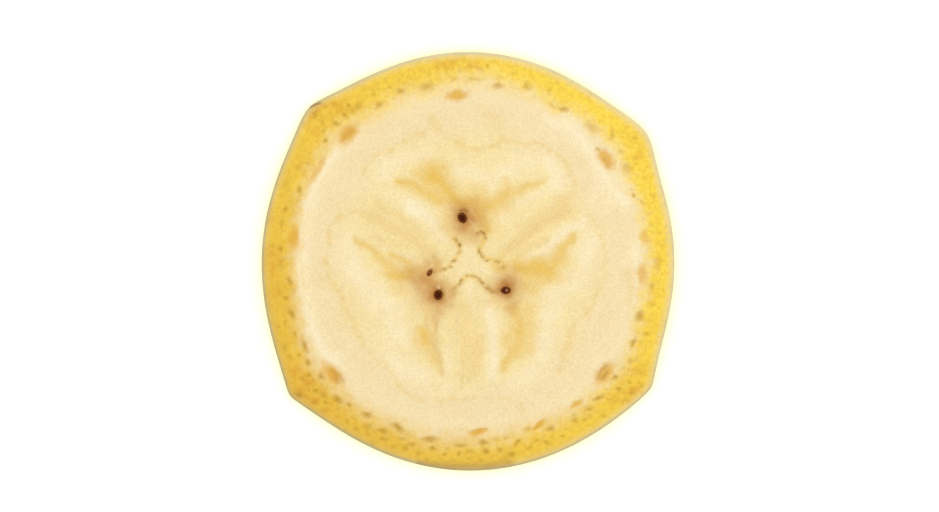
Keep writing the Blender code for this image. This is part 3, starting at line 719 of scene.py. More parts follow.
def write_points(piece, x, y, z):
    """Moves the mesh's points to these places, in millimetres."""
    places = np.stack((x, y, z), axis=1) * MM
    piece.data.vertices.foreach_set("co", places.ravel())
    piece.data.update()


def write_marks(piece, marks):
    """Stores each mark, a number at every point, for the material to read."""
    for name, values in marks.items():
        attribute = piece.data.attributes.new(name, "FLOAT", "POINT")
        attribute.data.foreach_set("value", values.astype(np.float32))


def finish_piece(piece, material, node, angle):
    """Gives a piece its material, shades edges under the angle smooth, and replaces its CAD node."""
    piece.data.materials.clear()
    piece.data.materials.append(material)
    bpy.ops.object.select_all(action="DESELECT")
    piece.select_set(True)
    bpy.context.view_layer.objects.active = piece
    bpy.ops.object.shade_smooth_by_angle(angle=math.radians(angle))
    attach(piece, "root")
    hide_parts(node)


def quarter_round(radius, height, size, start, steps):
    """Points of a rounded corner, clockwise from start degrees, without its first point."""
    turns = (math.radians(start - 90.0 * step / steps) for step in range(1, steps + 1))
    return [(radius + size * math.cos(a), height + size * math.sin(a)) for a in turns]


def lean_at(z):
    """Sideways shift of the section at each height."""
    share = 1.0 - z / THICKNESS
    return LEAN[0] * share, LEAN[1] * share


def swell_at(z):
    """How far the skin swells at each height, most of all half way up."""
    share = z / THICKNESS
    return SKIN_SWELL * 4.0 * share * (1.0 - share)


def slice_centre():
    """Middle of the CAD section, whose box is centred on the origin."""
    degrees = np.arange(0.0, 360.0, 0.25)
    edge = []
    for z in np.linspace(0.0, THICKNESS, 21):
        radius = skin_radius(degrees) + swell_at(z)
        shift_x, shift_y = lean_at(z)
        turn = np.radians(degrees)
        edge.append((radius * np.cos(turn) + shift_x, radius * np.sin(turn) + shift_y))
    x, y = np.concatenate(edge, axis=1)
    return (x.min() + x.max()) / 2.0, (y.min() + y.max()) / 2.0


def place_points(piece, x, y, z, height):
    """Moves the mesh's points to places in the slice, which leans as it does at the given height."""
    shift_x, shift_y = lean_at(height)
    centre_x, centre_y = slice_centre()
    write_points(piece, x + shift_x - centre_x, y + shift_y - centre_y, z)


def waviness(x, y):
    """Depth of the knife's faint unevenness, up to 0.025 mm and the same on both sides of the seam."""
    return 0.013 + 0.012 * np.clip(drift(x, y, 2.2, 5), -1.0, 1.0)


def wandered(x, y):
    """Places shifted a little, so that brush strokes come out uneven."""
    return (
        x + 0.14 * drift(x, y, 0.9, 11) + 0.05 * drift(x, y, 0.35, 12),
        y + 0.14 * drift(x, y, 0.9, 13) + 0.05 * drift(x, y, 0.35, 14),
    )


def oval_share(x, y, middle_x, middle_y, half_length, half_width, direction):
    """Distance of each place from the middle of a turned oval, which is 1 on its outline."""
    turn = math.radians(direction)
    along = (x - middle_x) * math.cos(turn) + (y - middle_y) * math.sin(turn)
    across = (y - middle_y) * math.cos(turn) - (x - middle_x) * math.sin(turn)
    return np.hypot(along / half_length, across / half_width)


def strand_ends(x, y, strands, even):
    """How strongly the cut ends of strands show at each place, with slightly uneven outlines."""
    x = x - MARKS_MIDDLE[0] + 0.05 * drift(x, y, 0.35, 23)
    y = y - MARKS_MIDDLE[1] + 0.05 * drift(x, y, 0.35, 24)
    uneven = 1.0 + 0.10 * drift(x, y, 0.3, 25)
    shown = np.zeros_like(x)
    for *oval, strength in strands:
        share = uneven * oval_share(x, y, *oval)
        shown = np.maximum(shown, strength * (1.0 - smooth_step(even, 1.9 - even, share)))
    return shown


def strand_marks(x, y):
    """How strongly the large and the small strand ends show at each place."""
    large = LARGE_STRENGTH * strand_ends(x, y, LARGE_STRANDS, LARGE_EVEN)
    small = SMALL_STRENGTH * strand_ends(x, y, STRANDS, SMALL_EVEN)
    return large, small


def yellow_left(x, y):
    """Share of the peel's yellow in the cut face: all in the outer peel, and none in the flesh."""
    degrees = np.degrees(np.arctan2(y, x))
    edge = around(YELLOW_EDGE, degrees)
    inward = edge - np.hypot(x, y) + 0.22 * drift(x, y, 0.5, 21) + 0.10 * drift(x, y, 0.2, 22)
    reach = np.where(inward < 0.0, around(YELLOW_FADE, degrees), around(YELLOW_FADE, degrees, 2))
    return 1.0 - smooth_step(-1.0, 1.0, inward / reach)


def seed_surroundings(x, y, seeds):
    """How strongly the flesh is stained and browned round the seeds, and the depth of their pits."""
    stain, stitch, pit = np.zeros_like(x), np.zeros_like(x), np.zeros_like(x)
    for _, place, half_length, half_width, direction, *_ in seeds:
        share = oval_share(x, y, *place, half_length, half_width, direction)
        # Browning fades outwards from the seed, and the dark line round it sooner
        beyond = np.maximum(share - 1.0, 0.0)
        stain = np.maximum(stain, 0.9 * np.exp(-((beyond / 1.3) ** 2)))
        stitch = np.maximum(stitch, 0.34 * np.exp(-((beyond / 0.7) ** 2)))
        # The pit is half an oval under the seed, with a shallow hollow beside it
        dome = np.sqrt(np.clip(1.0 - (share / PIT_SHARE) ** 2, 0.0, 1.0))
        under = SEED_SINK + SEED_HALF_HEIGHT * (1.0 + dome) + PIT_ROOM
        beside = 0.05 * (1.0 - smooth_step(PIT_SHARE, 1.6, share))
        pit = np.maximum(pit, np.where(share < PIT_SHARE, under, beside))
    return stain, stitch, pit


def flesh_marks(x, y, seeds):
    """Every mark on one cut face of the flesh, the share of the full depth that its hollows have, and
    the depth of the seeds' pits."""
    mark_x, mark_y = x - MARKS_MIDDLE[0], y - MARKS_MIDDLE[1]
    wander = wandered(mark_x, mark_y)
    distance = np.hypot(x, y)
    inside = seam_radius(np.degrees(np.arctan2(y, x))) - distance
    # Faint streaks run outwards from the core, between the star and the outer flesh
    from_core = np.arctan2(y - CORE[1], x - CORE[0])
    streaks = drift(5.0 * np.cos(from_core), 5.0 * np.sin(from_core), 0.4, 41)
    from_star = smooth_step(0.8, 2.5, distance) * (1.0 - smooth_step(5.0, 11.0, distance))
    # The walls are thin lines that break up here and there, and the fibres and the painted highlight
    # wander only a little
    broken = np.clip(0.95 + 0.6 * drift(x, y, 0.5, 17), 0.2, 1.4)
    fibre_x = mark_x + 0.04 * drift(x, y, 0.5, 18)
    fibre_y = mark_y + 0.04 * drift(x, y, 0.5, 19)
    large, small = strand_marks(x, y)
    stain_near, stitch_near, pit = seed_surroundings(x, y, seeds)
    stain = np.maximum(brushed(*wander, STAIN_STROKES), stain_near)
    stitch = brushed(mark_x, mark_y, STITCHES) * np.clip(0.85 + 0.6 * drift(x, y, 0.2, 20), 0.2, 1.4)
    marks = {
        "outer": smooth_step(*OUTER_FLESH, distance + 0.5 * drift(x, y, 2.5, 15)),
        "pale": brushed(*wander, PALE_STROKES),
        "tan": np.maximum(brushed(*wander, TAN_STROKES), broken * brushed(*wander, CARPEL_LINES)),
        "gel": np.maximum(brushed(*wander, ARM_STROKES), brushed(mark_x, mark_y, STAR_LINES)),
        "yellow": yellow_left(x, y),
        # Pale fibres, and the painted highlight above the second top seed
        "fibre_and_highlight": brushed(fibre_x, fibre_y, FIBRES_AND_HIGHLIGHT),
        "large": large,
        "strand": small,
        "seam": 1.0 - smooth_step(0.0, 1.5, inside),
        "streaks": streaks * np.clip(0.5 + drift(x, y, 2.0, 42), 0.0, 1.2) * from_star,
        "stain": stain,
        "stitch": np.maximum(stitch, stitch_near),
    }
    # The gel and the browned flesh have sunk, and the starchy parts stand a little higher
    hollow = 0.05 + 0.75 * marks["gel"] + 0.35 * stain + 0.15 * marks["tan"] - 0.22 * marks["pale"]
    hollow = np.clip(hollow + 0.06 * drift(x, y, 0.7, 16), 0.0, 1.2) * smooth_step(0.0, 1.2, inside)
    return marks, hollow, pit


class BANANA_OT_flesh(bpy.types.Operator):
    """Build the flesh, with its seed chambers on both cut faces"""

    bl_idname = "banana.build_flesh"
    bl_label = "Build Flesh"

    def execute(self, context):
        settings = context.scene.banana_flesh
        rim = FLESH_RADIUS
        # The rings lie closest together between these distances from the middle, where the seeds are
        near, far = 3.2, 4.8
        top = [near * i / 35.0 for i in range(35)] + [near + 0.05 * i for i in range(32)]
        top += [far + (rim - far) * i / 52.0 for i in range(53)]
        bottom = [0.3 * i for i in range(17)] + [far + (rim - far) * i / 17.0 for i in range(1, 18)]
        profile = [(r, THICKNESS) for r in top] + [(rim, THICKNESS * i / 6.0) for i in range(5, 0, -1)]
        profile += [(r, 0.0) for r in reversed(bottom)]
        piece = spin_solid("banana_flesh", profile, FLESH_STEPS)

        x, y, z = read_points(piece)
        degrees = np.degrees(np.arctan2(y, x))
        share = np.hypot(x, y) / rim
        turn = np.radians(degrees)
        edge = seam_radius(degrees) - SEAM_GAP
        # The rings shrink towards the core, where the seed chambers meet
        x = CORE[0] + (edge * np.cos(turn) - CORE[0]) * share
        y = CORE[1] + (edge * np.sin(turn) - CORE[1]) * share
        marks, hollow, pit = flesh_marks(x, y, TOP_SEEDS)
        marks_below, hollow_below, pit_below = flesh_marks(x, y, BOTTOM_SEEDS)
        for name, values in marks.items():
            marks[name] = np.where(z > THICKNESS / 2.0, values, marks_below[name])
        relief = settings.relief / MM
        wave = waviness(x, y)
        z = np.where(z > THICKNESS - FACE_REACH, z - relief * hollow - pit - wave, z)
        z = np.where(z < FACE_REACH, z + relief * hollow_below + pit_below + wave, z)
        place_points(piece, x, y, z, z)
        write_marks(piece, marks)
        material = flesh_material(settings, context.scene.banana_peel)
        finish_piece(piece, material, "flesh", 50.0)
        return {"FINISHED"}


def flesh_material(settings, peel):
    """Ripe banana pulp, cut with a knife: moist and soft, so light goes a little way in, with a fine
    starchy grain and wetter, clearer gel in the arms of the seed chambers."""
    material = new_material("banana_pulp_knife_cut")
    tree = material.node_tree
    place = add_node(tree, "ShaderNodeTexCoord").outputs["Object"]
    grain = add_node(
        tree,
        "ShaderNodeTexNoise",
        {"Vector": place, "Scale": 1.0 / CELL_SIZE, "Detail": 2.0, "Roughness": 0.6},
    ).outputs["Fac"]
    mottle = add_node(
        tree, "ShaderNodeTexNoise", {"Vector": place, "Scale": 1.0 / MOTTLE_SIZE, "Detail": 2.0}
    ).outputs["Fac"]
    patches = add_node(
        tree, "ShaderNodeMapRange", {"Value": mottle, "From Min": 0.45, "From Max": 0.8, "To Max": 0.3}
    ).outputs["Result"]
    mark = {
        name: add_node(tree, "ShaderNodeAttribute", attribute_name=name).outputs["Fac"]
        for name in (
            "outer", "pale", "tan", "gel", "yellow", "large", "strand", "stain", "stitch", "fibre_and_highlight",
            "streaks", "seam",
        )
    }

    # Each colour lies over the ones before it, as far as its mark says
    layers = (
        (mark["outer"], settings.outer), (mark["pale"], settings.pale), (mark["tan"], settings.tan),
        (mark["gel"], settings.gel), (mark["yellow"], settings.yellow), (mark["large"], peel.large),
        (mark["strand"], peel.strand), (mark["stain"], settings.stain),
        # The fibre colour also paints a highlight above the second top seed
        (mark["stitch"], settings.stitch), (mark["fibre_and_highlight"], settings.fibre_and_highlight), (patches, settings.tan),
    )
    colour = settings.flesh
    for share, over in layers:
        colour = add_node(
            tree, "ShaderNodeMix", {SHARE: share, UNDER: colour, OVER: over}, data_type="RGBA"
        ).outputs[MIXED]
    light = add_node(
        tree, "ShaderNodeMapRange", {"Value": grain, "To Min": 0.80, "To Max": 1.20}
    ).outputs["Result"]
    soft = add_node(
        tree,
        "ShaderNodeMapRange",
        {"Value": mark["streaks"], "From Min": -1.0, "To Min": 0.97, "To Max": 1.03},
    ).outputs["Result"]
    light = add_node(tree, "ShaderNodeMath", {0: light, 1: soft}, operation="MULTIPLY").outputs[0]
    colour = add_node(
        tree, "ShaderNodeVectorMath", {0: colour, "Scale": light}, operation="SCALE"
    ).outputs["Vector"]

    rough = add_node(
        tree, "ShaderNodeMapRange", {"Value": mark["gel"], "To Min": 0.50, "To Max": 0.32}
    ).outputs["Result"]
    bump = add_node(tree, "ShaderNodeBump", {"Height": grain, "Strength": 0.2, "Distance": 0.04 * MM})
    # Light goes less far in next to the peel
    depth = add_node(
        tree, "ShaderNodeMapRange", {"Value": mark["seam"], "To Min": 0.25, "To Max": 0.0}
    ).outputs["Result"]
    finish = {
        "Base Color": colour,
        "Roughness": rough,
        "IOR": 1.38,
        "Specular IOR Level": 0.3,
        "Normal": bump.outputs["Normal"],
        "Subsurface Weight": depth,
        "Subsurface Radius": (1.0, 0.7, 0.35),
        "Subsurface Scale": 0.5 * MM,
    }
    shader = add_node(tree, "ShaderNodeBsdfPrincipled", finish)
    add_node(tree, "ShaderNodeOutputMaterial", {"Surface": shader.outputs["BSDF"]})
    return material


class BANANA_OT_peel(bpy.types.Operator):
    """Build the ring of peel, with its skin, cut faces and strand ends"""

    bl_idname = "banana.build_peel"
    bl_label = "Build Peel"

    def execute(self, context):
        settings = context.scene.banana_peel
        # Rings outwards over the upper face, down the skin, back over the lower face and up the inside
        inner, outer, edge = FLESH_RADIUS, SKIN_RADIUS, SKIN_ROUND
        across = [inner + (outer - edge - inner) * i / 44.0 for i in range(45)]
        profile = [(r, THICKNESS) for r in across]
        profile += quarter_round(outer - edge, THICKNESS - edge, edge, 90.0, 5)
        profile += [(outer, edge + (THICKNESS - 2.0 * edge) * i / 10.0) for i in range(9, -1, -1)]
        profile += quarter_round(outer - edge, edge, edge, 0.0, 5)
        profile += [(r, 0.0) for r in across[-5::-4]]
        profile += [(inner, THICKNESS * i / 3.0) for i in (1, 2, 3)]
        piece = spin_solid("banana_peel", profile, PEEL_STEPS)

        x, y, z = read_points(piece)
        degrees = np.degrees(np.arctan2(y, x))
        share = (np.hypot(x, y) - inner) / (outer - inner)
        turn = np.radians(degrees)
        skin = skin_radius(degrees) + swell_at(z)
        seam = seam_radius(degrees) + SEAM_GAP
        radius = seam + share * (skin - seam)
        x, y = radius * np.cos(turn), radius * np.sin(turn)
        marks = peel_marks(x, y, z)
        sunk = settings.relief / MM * np.maximum(marks["large"], marks["strand"]) + waviness(x, y)
        z = np.where(z > THICKNESS - FACE_REACH, z - sunk, z)
        z = np.where(z < FACE_REACH, z + sunk, z)
        place_points(piece, x, y, z, z)
        write_marks(piece, marks)
        material = peel_material(settings, context.scene.banana_flesh)
        finish_piece(piece, material, "peel", 60.0)
        return {"FINISHED"}


def peel_marks(x, y, z):
    """Every mark on the peel, on its cut faces and its skin, each from 0 to 1."""
    degrees = np.degrees(np.arctan2(y, x))
    depth = skin_radius(degrees) - np.hypot(x, y)
    from_cut = THICKNESS / 2.0 - np.abs(z - THICKNESS / 2.0)
    cut = np.where(from_cut < FACE_REACH, 1.0, 0.0)
    # The edge and the scars reach a little way down the skin
    near_cut = 1.0 - smooth_step(0.12, 0.45, from_cut)
    mark_x, mark_y = x - MARKS_MIDDLE[0], y - MARKS_MIDDLE[1]
    wander = wandered(mark_x, mark_y)
    large, small = strand_marks(x, y)
    spotted = np.clip(0.65 + 0.6 * drift(x, y, 0.5, 27), 0.1, 1.3)
    # 0 on the lemon side towards the key light and 1 on the side away from it, where the deeper yellow
    # is partly painted shade
    side = 0.5 - 0.5 * np.cos(np.radians(degrees - LEMON_AND_LIT_SIDE))
    # The rind is palest just under the skin
    rind = 0.85 * (1.0 - smooth_step(0.2, 0.85, depth + 0.08 * drift(x, y, 0.4, 25)))
    # The edge, partly the skin's own colour and partly painted shade, is darkest over the first quarter
    # of its reach, with a faint brown band of painted shade further in on the side away from the key
    # light
    reach = around(SKIN_EDGE, degrees)
    dark = 0.9 * (1.0 - smooth_step(0.245 * reach, 0.875 * reach, depth))
    band = 0.18 * side * (1.0 - smooth_step(0.3, 0.85, depth))
    return {
        "skin": np.where((from_cut > 0.02) & (depth < 0.5), 1.0, 0.0),
        "cream": 1.0 - yellow_left(x, y),
        "pale": brushed(*wander, PALE_STROKES),
        "rind": (1.0 - side) * rind,
        # Share of the deeper yellow: partly the peel's own, partly painted shade on the side away from
        # the key light
        "ochre_and_shade": np.clip(side + 0.12 * drift(x, y, 1.2, 26), 0.0, 1.0),
        "orange": spotted * brushed(*wander, ORANGE_STROKES),
        "browned": near_cut * brushed(mark_x, mark_y, BROWN_STROKES),
        "large": large * cut,
        "strand": small * cut,
        "edge": near_cut * np.maximum(dark, band),
        "seam": 1.0 - smooth_step(0.0, 1.5, np.hypot(x, y) - seam_radius(degrees)),
    }


def peel_material(settings, flesh):
    """Ripe banana peel, cut across with a knife: a waxy yellow skin with fine lines along the fruit,
    over spongy yellow flesh that fades to cream pith, with darker strand ends."""
    material = new_material("banana_peel_knife_cut")
    tree = material.node_tree
    mark = {
        name: add_node(tree, "ShaderNodeAttribute", attribute_name=name).outputs["Fac"]
        for name in (
            "skin", "cream", "pale", "rind", "ochre_and_shade", "orange", "browned", "large", "strand",
            "edge", "seam",
        )
    }
    place = add_node(tree, "ShaderNodeTexCoord").outputs["Object"]
    # The skin's lines run along the fruit, which is along Z
    drawn_out = add_node(
        tree, "ShaderNodeMapping", {"Vector": place, "Scale": (1.0, 1.0, 0.08)}
    ).outputs["Vector"]
    # Each pattern: place, size, detail, roughness
    patterns = {
        "grain": (place, CELL_SIZE, 2.0, 0.6),
        "mottle": (place, MOTTLE_SIZE, 2.0, 0.5),
        "blotch": (place, BLOTCH_SIZE, 3.0, 0.6),
        "lines": (drawn_out, LINE_SPACING, 3.0, 0.5),
        "freckle": (place, FRECKLE_SIZE, 1.0, 0.4),
    }
    noise = {
        name: add_node(
            tree,
            "ShaderNodeTexNoise",
            {"Vector": at, "Scale": 1.0 / size, "Detail": detail, "Roughness": roughness},
        ).outputs["Fac"]
        for name, (at, size, detail, roughness) in patterns.items()
    }
    # Each share or strength: the pattern or mark that it follows, that one's range, and its own
    ranges = {
        "blotches": (noise["blotch"], 0.46, 0.72, 0.0, 0.5),
        "lines": (noise["lines"], 0.35, 0.75, 0.0, 0.8),
        "freckles": (noise["freckle"], 0.66, 0.76, 0.0, 0.6),
        "grain": (noise["grain"], 0.0, 1.0, 0.84, 1.16),
        "mottle": (noise["mottle"], 0.0, 1.0, 0.96, 1.04),
        "rough": (mark["skin"], 0.0, 1.0, 0.50, 0.42),
        # Light goes less far in next to the flesh
        "depth": (mark["seam"], 0.0, 1.0, 0.15, 0.0),
    }
    ranged = {
        name: add_node(
            tree,
            "ShaderNodeMapRange",
            {"Value": value, "From Min": low, "From Max": high, "To Min": start, "To Max": end},
        ).outputs["Result"]
        for name, (value, low, high, start, end) in ranges.items()
    }

    # The yellow changes from the lemon side to the deeper yellow side, partly by ripeness and partly as
    # painted shade away from the key light, and the edge of the skin is painted lighter towards the key
    # light and darker, as painted shade, away from it
    yellow = add_node(
        tree,
        "ShaderNodeMix",
        {SHARE: mark["ochre_and_shade"], UNDER: settings.lemon, OVER: settings.ochre_and_shade},
        data_type="RGBA",
    ).outputs[MIXED]
    edge = add_node(
        tree,
        "ShaderNodeMix",
        {SHARE: mark["ochre_and_shade"], UNDER: settings.edge_lit_side, OVER: settings.edge_shade_side},
        data_type="RGBA",
    ).outputs[MIXED]
    skin = yellow
    for share, over in ((ranged["lines"], settings.ochre_and_shade), (ranged["freckles"], settings.browned)):
        skin = add_node(
            tree, "ShaderNodeMix", {SHARE: share, UNDER: skin, OVER: over}, data_type="RGBA"
        ).outputs[MIXED]
    orange = add_node(
        tree,
        "ShaderNodeMath",
        {0: ranged["blotches"], 1: mark["orange"]},
        operation="ADD",
        use_clamp=True,
    ).outputs[0]
    # Each colour lies over the ones before it, as far as its mark says
    layers = (
        (orange, settings.orange), (mark["rind"], settings.rind), (mark["cream"], flesh.outer),
        (mark["pale"], flesh.pale), (mark["large"], settings.large), (mark["strand"], settings.strand),
        (mark["skin"], skin), (mark["edge"], edge), (mark["browned"], settings.browned),
    )
    colour = yellow
    for share, over in layers:
        colour = add_node(
            tree, "ShaderNodeMix", {SHARE: share, UNDER: colour, OVER: over}, data_type="RGBA"
        ).outputs[MIXED]
    light = add_node(
        tree, "ShaderNodeMath", {0: ranged["grain"], 1: ranged["mottle"]}, operation="MULTIPLY"
    ).outputs[0]
    colour = add_node(
        tree, "ShaderNodeVectorMath", {0: colour, "Scale": light}, operation="SCALE"
    ).outputs["Vector"]

    # The cut faces are grained, and the skin has its lines
    height = add_node(
        tree,
        "ShaderNodeMix",
        {SHARE: mark["skin"], UNDER_HEIGHT: noise["grain"], OVER_HEIGHT: noise["lines"]},
        data_type="FLOAT",
    ).outputs[MIXED_HEIGHT]
    bump = add_node(tree, "ShaderNodeBump", {"Height": height, "Strength": 0.2, "Distance": 0.04 * MM})
    finish = {
        "Base Color": colour,
        "Roughness": ranged["rough"],
        "IOR": 1.38,
        "Specular IOR Level": 0.3,
        "Normal": bump.outputs["Normal"],
        "Subsurface Weight": ranged["depth"],
        "Subsurface Radius": (1.0, 0.6, 0.2),
        "Subsurface Scale": 0.5 * MM,
    }
    shader = add_node(tree, "ShaderNodeBsdfPrincipled", finish)
    add_node(tree, "ShaderNodeOutputMaterial", {"Surface": shader.outputs["BSDF"]})
    return material


class BANANA_OT_seeds(bpy.types.Operator):
    """Build the undeveloped seeds in both cut faces"""

    bl_idname = "banana.build_seeds"
    bl_label = "Build Seeds"

    def execute(self, context):
        material = seed_material(context.scene.banana_seeds)
        relief = context.scene.banana_flesh.relief / MM
        for seeds, on_top in ((TOP_SEEDS, True), (BOTTOM_SEEDS, False)):
            for number, seed in enumerate(seeds):
                build_seed(seed, number, on_top, relief, material)
        return {"FINISHED"}


def build_seed(seed, number, on_top, relief, material):
    """Builds one seed in its pit, a little pointed at one end and wrinkled where it has dried."""
    node, (middle_x, middle_y), half_length, half_width, direction, opened, young = seed
    bpy.ops.object.select_all(action="DESELECT")
    bpy.ops.mesh.primitive_uv_sphere_add(segments=48, ring_count=24, radius=MM)
    piece = bpy.context.object
    piece.name = f"banana_{node}"
    x, y, z = read_points(piece)
    wrinkle = 1.0 + 0.05 * drift(x * 2.0, y * 2.0 + z, 0.5, 31 + number) - 0.10 * x * np.abs(y)
    # Its outer half is flattened, and cut off a little lower where the knife opened it
    level = np.where(z > 0.0, np.maximum(z, 0.0) ** 0.3, z) * wrinkle
    level = np.minimum(level, 0.9 - 0.1 * opened)
    x, y = x * wrinkle * SEED_SHARE, y * wrinkle * SEED_SHARE

    # Its middle lies at this depth under the flat of the cut face
    place = np.array([middle_x]), np.array([middle_y])
    hollow = flesh_marks(*place, ())[1][0]
    depth = SEED_SINK + SEED_HALF_HEIGHT + relief * hollow + waviness(*place)[0]
    under_face = depth - level * SEED_HALF_HEIGHT
    turn = math.radians(direction)
    out_x, out_y = x * half_length, y * half_width
    place_points(
        piece,
        middle_x + out_x * math.cos(turn) - out_y * math.sin(turn),
        middle_y + out_x * math.sin(turn) + out_y * math.cos(turn),
        THICKNESS - under_face if on_top else under_face,
        THICKNESS - depth if on_top else depth,
    )
    if not on_top:
        piece.data.flip_normals()

    # The kernel shows where the knife opened the seed, and the coat is browner round its edge
    kernel = opened * (1.0 - smooth_step(0.12, 0.5, np.hypot(x - 0.26, y))) * (z > 0.0)
    rim = 0.9 * smooth_step(0.55, 1.0, np.hypot(x, y))
    rim = np.maximum(rim, young * smooth_step(-0.8, 0.1, x))
    write_marks(piece, {"kernel": kernel, "rim": rim * (z > -0.2)})
    finish_piece(piece, material, node, 50.0)


def seed_material(settings):
    """Undeveloped banana seed, dried in the fruit: a thin hard coat, dark brown and slightly glossy,
    with a pale kernel where the knife has opened it."""
    material = new_material("banana_seed_undeveloped")
    tree = material.node_tree
    place = add_node(tree, "ShaderNodeTexCoord").outputs["Object"]
    wrinkles = add_node(
        tree, "ShaderNodeTexNoise", {"Vector": place, "Scale": 1.0 / WRINKLE_SPACING, "Detail": 2.0}
    ).outputs["Fac"]
    colour = settings.coat
    for name in ("rim", "kernel"):
        mark = add_node(tree, "ShaderNodeAttribute", attribute_name=name).outputs["Fac"]
        colour = add_node(
            tree,
            "ShaderNodeMix",
            {SHARE: mark, UNDER: colour, OVER: getattr(settings, name)},
            data_type="RGBA",
        ).outputs[MIXED]
    light = add_node(
        tree, "ShaderNodeMapRange", {"Value": wrinkles, "To Min": 0.6, "To Max": 1.4}
    ).outputs["Result"]
    colour = add_node(
        tree, "ShaderNodeVectorMath", {0: colour, "Scale": light}, operation="SCALE"
    ).outputs["Vector"]
    bump = add_node(
        tree, "ShaderNodeBump", {"Height": wrinkles, "Strength": 0.5, "Distance": 0.02 * MM}
    )
    finish = {
        "Base Color": colour,
        "Roughness": 0.45,
        "IOR": 1.45,
        "Specular IOR Level": 0.04,
        "Normal": bump.outputs["Normal"],
    }
    shader = add_node(tree, "ShaderNodeBsdfPrincipled", finish)
    add_node(tree, "ShaderNodeOutputMaterial", {"Surface": shader.outputs["BSDF"]})
    return material


class BANANA_OT_stage(bpy.types.Operator):
    """Set up the white table, the soft lights and the camera straight above the slice"""

    bl_idname = "banana.build_stage"
    bl_label = "Build Stage"

    def execute(self, context):
        settings = context.scene.banana_stage
        scene = context.scene

        # The rings next to the slice follow its outline, and the ones further out are round
        close_rings = [SKIN_RADIUS + 0.2 * i for i in range(13)]
        rings = [0.0, 17.5, *close_rings, 21.0, 23.0, 40.0, TABLE_RADIUS]
        table = spin_solid("white_table", [(radius, 0.0) for radius in rings], TABLE_STEPS)
        x, y, z = read_points(table)
        distance, turn = np.hypot(x, y), np.arctan2(y, x)
        past_middle = distance > 17.0
        follow = past_middle * (1.0 - smooth_step(22.5, 39.5, distance))
        radius = distance + follow * (skin_radius(np.degrees(turn)) - SKIN_RADIUS)
        centre_x, centre_y = slice_centre()
        write_points(table, radius * np.cos(turn) - centre_x, radius * np.sin(turn) - centre_y, z)
        # Painted glow of light through the peel: full next to the slice, fading outwards
        beyond = np.maximum(distance - SKIN_RADIUS - TINT_FULL, 0.0)
        write_marks(table, {"glow": past_middle * np.exp(-beyond / TINT_FADE)})
        table.data.materials.append(table_material(settings))

        world = bpy.data.worlds.new("even_studio_light")
        world.use_nodes = True
        background = world.node_tree.nodes["Background"]
        background.inputs["Color"].default_value = (1.0, 1.0, 1.0, 1.0)
        background.inputs["Strength"].default_value = settings.sky
        scene.world = world

        bpy.ops.object.light_add(type="AREA", location=KEY_PLACE)
        key = bpy.context.object
        key.name = "soft_key_light"
        key.rotation_euler = (-key.location).to_track_quat("-Z", "Y").to_euler()
        key.data.size = KEY_WIDTH
        key.data.energy = settings.key_power
        # The table is left to the even light, so that the slice casts no dark side on it
        shaded = bpy.data.collections.new("without_key_light")
        shaded.objects.link(table)
        shaded.collection_objects[0].light_linking.link_state = "EXCLUDE"
        key.light_linking.receiver_collection = shaded

        aim_x, aim_y = (CAMERA_AIM[0] - centre_x) * MM, (CAMERA_AIM[1] - centre_y) * MM
        camera_z = THICKNESS * MM + CAMERA_HEIGHT
        bpy.ops.object.camera_add(location=(aim_x, aim_y, camera_z), rotation=(0.0, 0.0, 0.0))
        camera = bpy.context.object
        camera.data.sensor_width = 36.0
        camera.data.lens = CAMERA_LENS
        scene.camera = camera
        scene.view_settings.view_transform = "Standard"
        return {"FINISHED"}


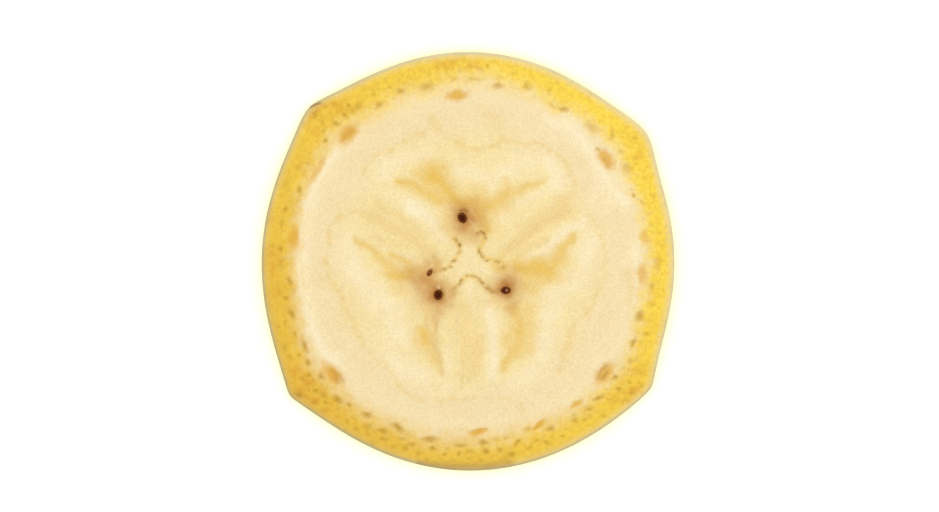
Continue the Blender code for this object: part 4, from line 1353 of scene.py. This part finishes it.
def table_material(settings):
    """White acrylic with a lamp under it: an even, matt surface that glows a little, with a painted
    yellow glow next to the slice that stands for light coming through the yellow peel."""
    material = new_material("white_acrylic_lit_from_below")
    tree = material.node_tree
    glow = add_node(tree, "ShaderNodeAttribute", attribute_name="glow").outputs["Fac"]
    colour = add_node(
        tree,
        "ShaderNodeMix",
        {SHARE: glow, UNDER: settings.table, OVER: settings.tint},
        data_type="RGBA",
    ).outputs[MIXED]
    finish = {
        "Base Color": colour,
        "Roughness": 0.7,
        "Emission Color": colour,
        "Emission Strength": settings.table_glow,
    }
    shader = add_node(tree, "ShaderNodeBsdfPrincipled", finish)
    add_node(tree, "ShaderNodeOutputMaterial", {"Surface": shader.outputs["BSDF"]})
    return material


class BANANA_PT_panel(bpy.types.Panel):
    bl_label = "Banana Slice"
    bl_idname = "BANANA_PT_panel"
    bl_space_type = "VIEW_3D"
    bl_region_type = "UI"
    bl_category = "Banana Slice"

    def draw(self, context):
        scene = context.scene
        groups = (
            (BANANA_OT_stage, scene.banana_stage),
            (BANANA_OT_peel, scene.banana_peel),
            (BANANA_OT_flesh, scene.banana_flesh),
            (BANANA_OT_seeds, scene.banana_seeds),
        )
        for operator, settings in groups:
            box = self.layout.box()
            for name in settings.__annotations__:
                box.prop(settings, name)
            box.operator(operator.bl_idname)


CLASSES = (
    PeelSettings,
    FleshSettings,
    SeedSettings,
    StageSettings,
    BANANA_OT_stage,
    BANANA_OT_peel,
    BANANA_OT_flesh,
    BANANA_OT_seeds,
    BANANA_PT_panel,
)


def register():
    for cls in CLASSES:
        bpy.utils.register_class(cls)
    bpy.types.Scene.banana_peel = PointerProperty(type=PeelSettings)
    bpy.types.Scene.banana_flesh = PointerProperty(type=FleshSettings)
    bpy.types.Scene.banana_seeds = PointerProperty(type=SeedSettings)
    bpy.types.Scene.banana_stage = PointerProperty(type=StageSettings)


def unregister():
    del bpy.types.Scene.banana_stage
    del bpy.types.Scene.banana_seeds
    del bpy.types.Scene.banana_flesh
    del bpy.types.Scene.banana_peel
    for cls in reversed(CLASSES):
        bpy.utils.unregister_class(cls)


def main():
    """Builds the stage and the slice."""
    register()
    bpy.ops.banana.build_stage()
    bpy.ops.banana.build_peel()
    bpy.ops.banana.build_flesh()
    bpy.ops.banana.build_seeds()


if __name__ == "__main__":
    main()
